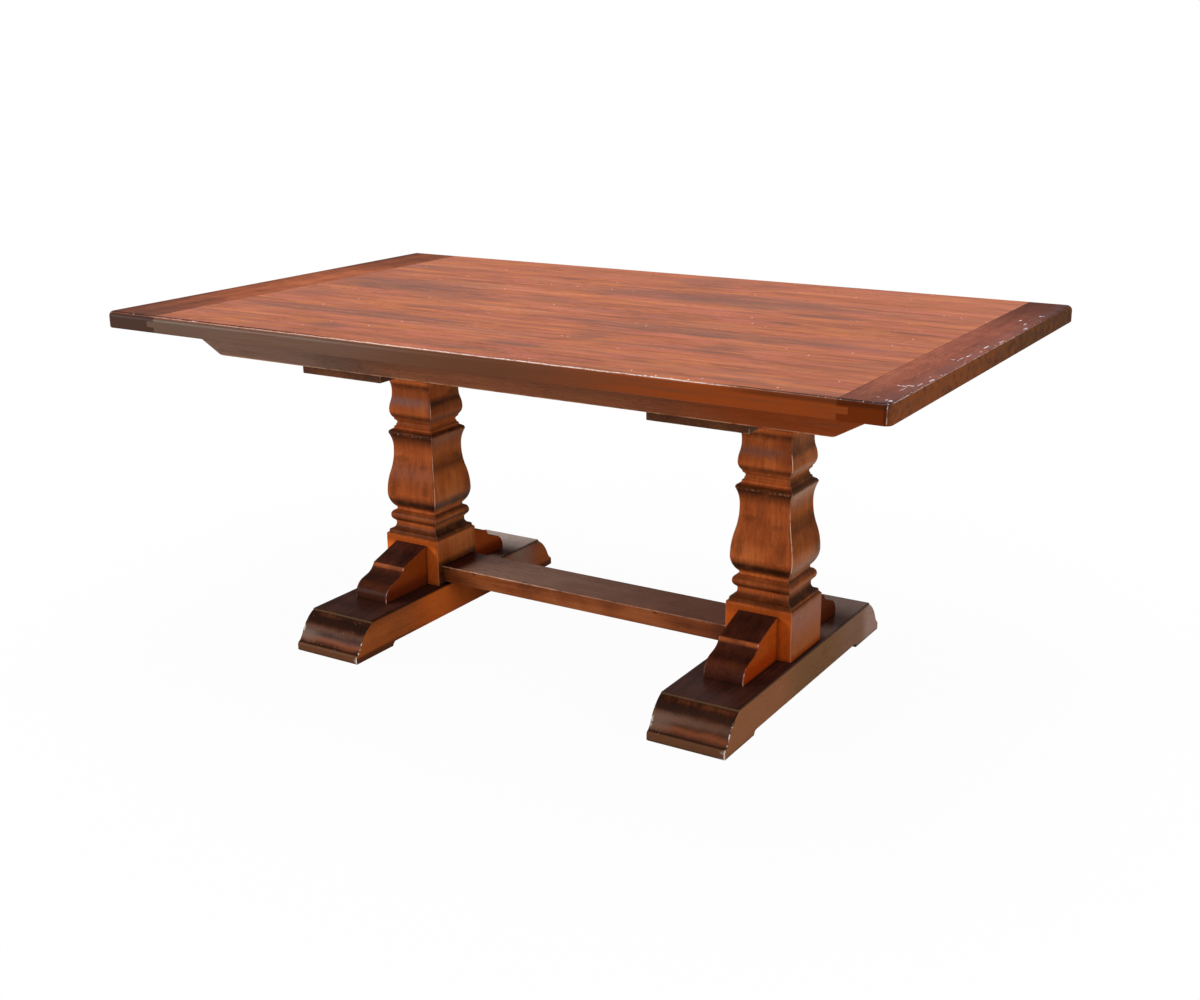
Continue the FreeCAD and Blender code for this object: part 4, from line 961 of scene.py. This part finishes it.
def stretcher_paint():
    """Stretcher: gray-brown top whose gray is a painted reflection, with a dark painted reflection next to
    the left post, orange-brown sides with painted shade near the posts, and a rubbed, chipped upper edge.
    """
    paint = Paint("stretcher")
    grain, tone = stained(paint, "X", 9.3)
    sides = paint.layered(
        paint.shade(tone, stretcher_front_colors),
        # Painted shade at both ends, beside the posts
        (stretcher_front_colors[0], paint.step(paint.x, -0.34, -0.375, 0.0, 0.4)),
        (stretcher_shade_dark, paint.step(paint.x, 0.31, 0.36, 0.0, 0.7)))
    top_color = paint.layered(
        stretcher_sheen_gray,
        (stretcher_brown, paint.step(paint.x, -0.2, 0.34)),
        (stretcher_front_colors[0], paint.step(tone, 0.4, 0.62, 0.3, 0.0)),
        # Painted reflection of the left plinth
        (stretcher_shade_dark, paint.step(paint.x, -0.305, -0.34)))
    paint.color = by_facing(paint, sides, sides, top_color)
    age_and_shade(paint, grain, 0.85, 0.03)
    from_edge = paint.add(paint.minus(stretcher_high.y, paint.size(paint.y)),
                          paint.minus(stretcher_high.z, paint.z))
    waver = paint.minus(paint.clouds(0.03, 3.3, 4.0), 0.5)
    from_edge = paint.plus(from_edge, waver, -0.0024)
    broken = paint.spotted(0.016, 5.3, 0.34, 0.5, 0.15)
    more_at_left = paint.step(paint.x, -0.12, 0.06, 0.9, 0.45)
    paint.lay(rubbed_pink, paint.step(from_edge, 0.0026, 0.001), broken, more_at_left)
    chips = paint.step(paint.noise(paint.space((0.03, 0.01, 0.01), 6.3), 3.0), 0.58, 0.64)
    paint.lay(glaze_brown, paint.window(from_edge, 0.0018, 0.0062, 0.001), chips, 0.8)
    return finish_wood(paint, grain, base_coat)


def rail_paint(name, seed):
    """Long rail: gray-brown at the left, whose gray is a painted reflection, orange at the right, with a pale
    line along its lower edge that is a painted highlight.
    """
    paint = Paint(name)
    grain, tone = stained(paint, "X", seed, 0.2)
    paint.color = paint.layered(
        edge_colors(paint, grain),
        (rail_brown, paint.window(paint.x, -0.3, 0.42, 0.16)),
        (rail_sheen_gray, paint.step(paint.x, -0.34, -0.5)),
        (glaze_brown, paint.step(tone, 0.42, 0.6, 0.25, 0.0)))
    age_and_shade(paint, grain, 0.5, 0.012)
    rub_edges(paint, seed)
    broken = paint.step(paint.clouds(0.05, seed, 4.0), 0.38, 0.55)
    # Painted highlight: the pale line along the rounded lower edge
    paint.lay(rubbed_tan, paint.step(paint.minus(paint.z, rail_low_z), 0.003, 0.0012), broken, 0.5)
    return finish_wood(paint, grain, base_coat)


def plate_paint(side):
    """Plate over a post: dark and plain."""
    paint = Paint("pedestal_plate_" + side)
    seed = 4.0 if side == "left" else 9.0
    grain, tone = stained(paint, "Y", seed)
    paint.color = paint.shade(tone, plate_colors)
    age_and_shade(paint, grain, 0.5, 0.012)
    rub_edges(paint, seed)
    return finish_wood(paint, grain, base_coat)


def bare_wood_paint(name, axis, seed):
    """Unstained wood of the pieces under the top."""
    paint = Paint(name)
    grain, tone = stained(paint, axis, seed, 0.2)
    paint.color = paint.shade(tone, bare_wood_colors)
    paint.lay(bare_wood_colors[0], grain.lines, 0.3)
    return paint.finish(bare_wood_roughness, grain.height(paint), base_relief, 0.0, 0.4)


def metal_paint(name, color, seed):
    """Plated metal with fine turning marks and dull patches."""
    paint = Paint(name)
    marks = paint.noise(paint.space((0.004, 0.004, 0.0004), seed), 3.0, 0.6)
    dull_color = tuple(0.55 * part for part in color)
    paint.color = paint.layered(color, (dull_color, paint.clouds(0.02, seed + 4.0), 0.5))
    roughness = paint.step(marks, 0.2, 0.8, *metal_roughness)
    return paint.finish(roughness, marks, metal_relief, 0.0, 0.5, 1.0)


def dress(node, material):
    """Gives a CAD node its material."""
    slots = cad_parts[node].data.materials
    slots.clear()
    slots.append(material)


def soften(node):
    """Takes the sharpness off a node's edges."""
    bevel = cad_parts[node].modifiers.new("softened", "BEVEL")
    bevel.width = softened_width
    bevel.segments = 2
    bevel.limit_method = "ANGLE"
    bevel.angle_limit = softened_angle
    bevel.harden_normals = True


def dress_table():
    for index in range(1, 8):
        dress("top_plank_%d" % index, plank_paint(index))
    for number, side in enumerate(("left", "right")):
        dress("end_board_" + side, end_board_paint(side))
        dress("post_" + side, post_paint(side))
        dress("foot_" + side, foot_paint(side))
        dress("pedestal_plate_" + side, plate_paint(side))
        for end in ("front", "back"):
            name = "bracket_%s_%s" % (side, end)
            dress(name, bracket_paint(name, len(end) + 3.0 * number, *bracket_side_light[name]))
            soften(name)
        for place in ("inner", "outer"):
            name = "cross_rail_%s_%s" % (side, place)
            dress(name, bare_wood_paint(name, "Y", len(place) + 5.0 * number))
    for number, end in enumerate(("front", "back")):
        dress("long_rail_" + end, rail_paint("long_rail_" + end, 2.7 + number))
    dress("stretcher", stretcher_paint())
    soften("stretcher")
    for number, name in enumerate(("end_board_pegs", "top_buttons", "bracket_dowels")):
        dress(name, bare_wood_paint(name, "XYZ"[number], 12.0 + number))
    for number, name in enumerate(("button_screws", "plate_bolts", "plate_washers", "post_screws",
                                   "foot_lag_screws", "bracket_screws", "hanger_bolts", "hanger_nuts",
                                   "hanger_washers")):
        dress(name, metal_paint(name, steel, 1.0 + number))
    dress("threaded_inserts", metal_paint("threaded_inserts", brass, 3.0))


def make_camera():
    forward = Vector((math.sin(camera_yaw) * math.cos(camera_pitch),
                      math.cos(camera_yaw) * math.cos(camera_pitch), -math.sin(camera_pitch)))
    level = Vector((math.cos(camera_yaw), -math.sin(camera_yaw), 0.0))
    down = forward.cross(level)
    across = math.cos(camera_roll) * level + math.sin(camera_roll) * down
    drop = math.cos(camera_roll) * down - math.sin(camera_roll) * level
    data = bpy.data.cameras.new("camera")
    data.sensor_width = sensor_width_mm
    data.lens = focal_px / photo_width_px * sensor_width_mm
    camera = bpy.data.objects.new("camera", data)
    turn = Matrix((across, -drop, -forward)).transposed()
    camera.matrix_world = Matrix.Translation(camera_place) @ turn.to_4x4()
    bpy.context.scene.collection.objects.link(camera)
    bpy.context.scene.camera = camera


def make_lamps():
    for name, place, aim, width, height, power in lamps:
        data = bpy.data.lights.new(name, "AREA")
        data.shape = "RECTANGLE"
        data.size = width
        data.size_y = height
        data.energy = power
        lamp = bpy.data.objects.new(name, data)
        lamp.location = place
        lamp.rotation_mode = "QUATERNION"
        lamp.rotation_quaternion = (Vector(aim) - Vector(place)).to_track_quat("-Z", "Y")
        bpy.context.scene.collection.objects.link(lamp)


def make_world():
    """White to the camera and in reflections, dimmer as a light."""
    world = bpy.data.worlds.new("studio")
    nodes = Nodes(world)
    path = nodes.node("ShaderNodeLightPath").outputs
    seen = nodes.most(path["Is Camera Ray"], path["Is Glossy Ray"], path["Is Transmission Ray"])
    strength = nodes.node("ShaderNodeMapRange", {"Value": seen, "To Min": world_strength}).outputs[0]
    background = nodes.node("ShaderNodeBackground", {"Color": white, "Strength": strength})
    nodes.node("ShaderNodeOutputWorld", {0: background.outputs[0]})
    bpy.context.scene.world = world


def make_floor():
    """White floor that keeps a soft shadow under the table and fades to white around it."""
    corners = [(x * floor_reach, y * floor_reach, 0.0) for x, y in ((-1, -1), (1, -1), (1, 1), (-1, 1))]
    mesh = bpy.data.meshes.new("floor")
    mesh.from_pydata(corners, [], [(0, 1, 2, 3)])
    floor = bpy.data.objects.new("floor", mesh)
    floor.location.z = -floor_gap
    bpy.context.scene.collection.objects.link(floor)
    paint = Paint("floor")
    away = paint.math("SQRT", paint.plus(paint.times(paint.y, paint.y), paint.x, paint.x))
    path = paint.node("ShaderNodeLightPath").outputs
    seen = paint.most(path["Is Camera Ray"], path["Is Glossy Ray"])
    lit = paint.times(seen, paint.step(away, *floor_lit))
    surface = paint.node("ShaderNodeBsdfDiffuse", {"Color": floor_color})
    glow = paint.node("ShaderNodeEmission", {"Color": white, "Strength": 1.0})
    blend = paint.node("ShaderNodeMixShader", {0: lit, 1: surface.outputs[0], 2: glow.outputs[0]})
    paint.node("ShaderNodeOutputMaterial", {0: blend.outputs[0]})
    mesh.materials.append(paint.material)


dress_table()
make_floor()
make_lamps()
make_world()
make_camera()
bpy.context.scene.view_settings.view_transform = "Standard"
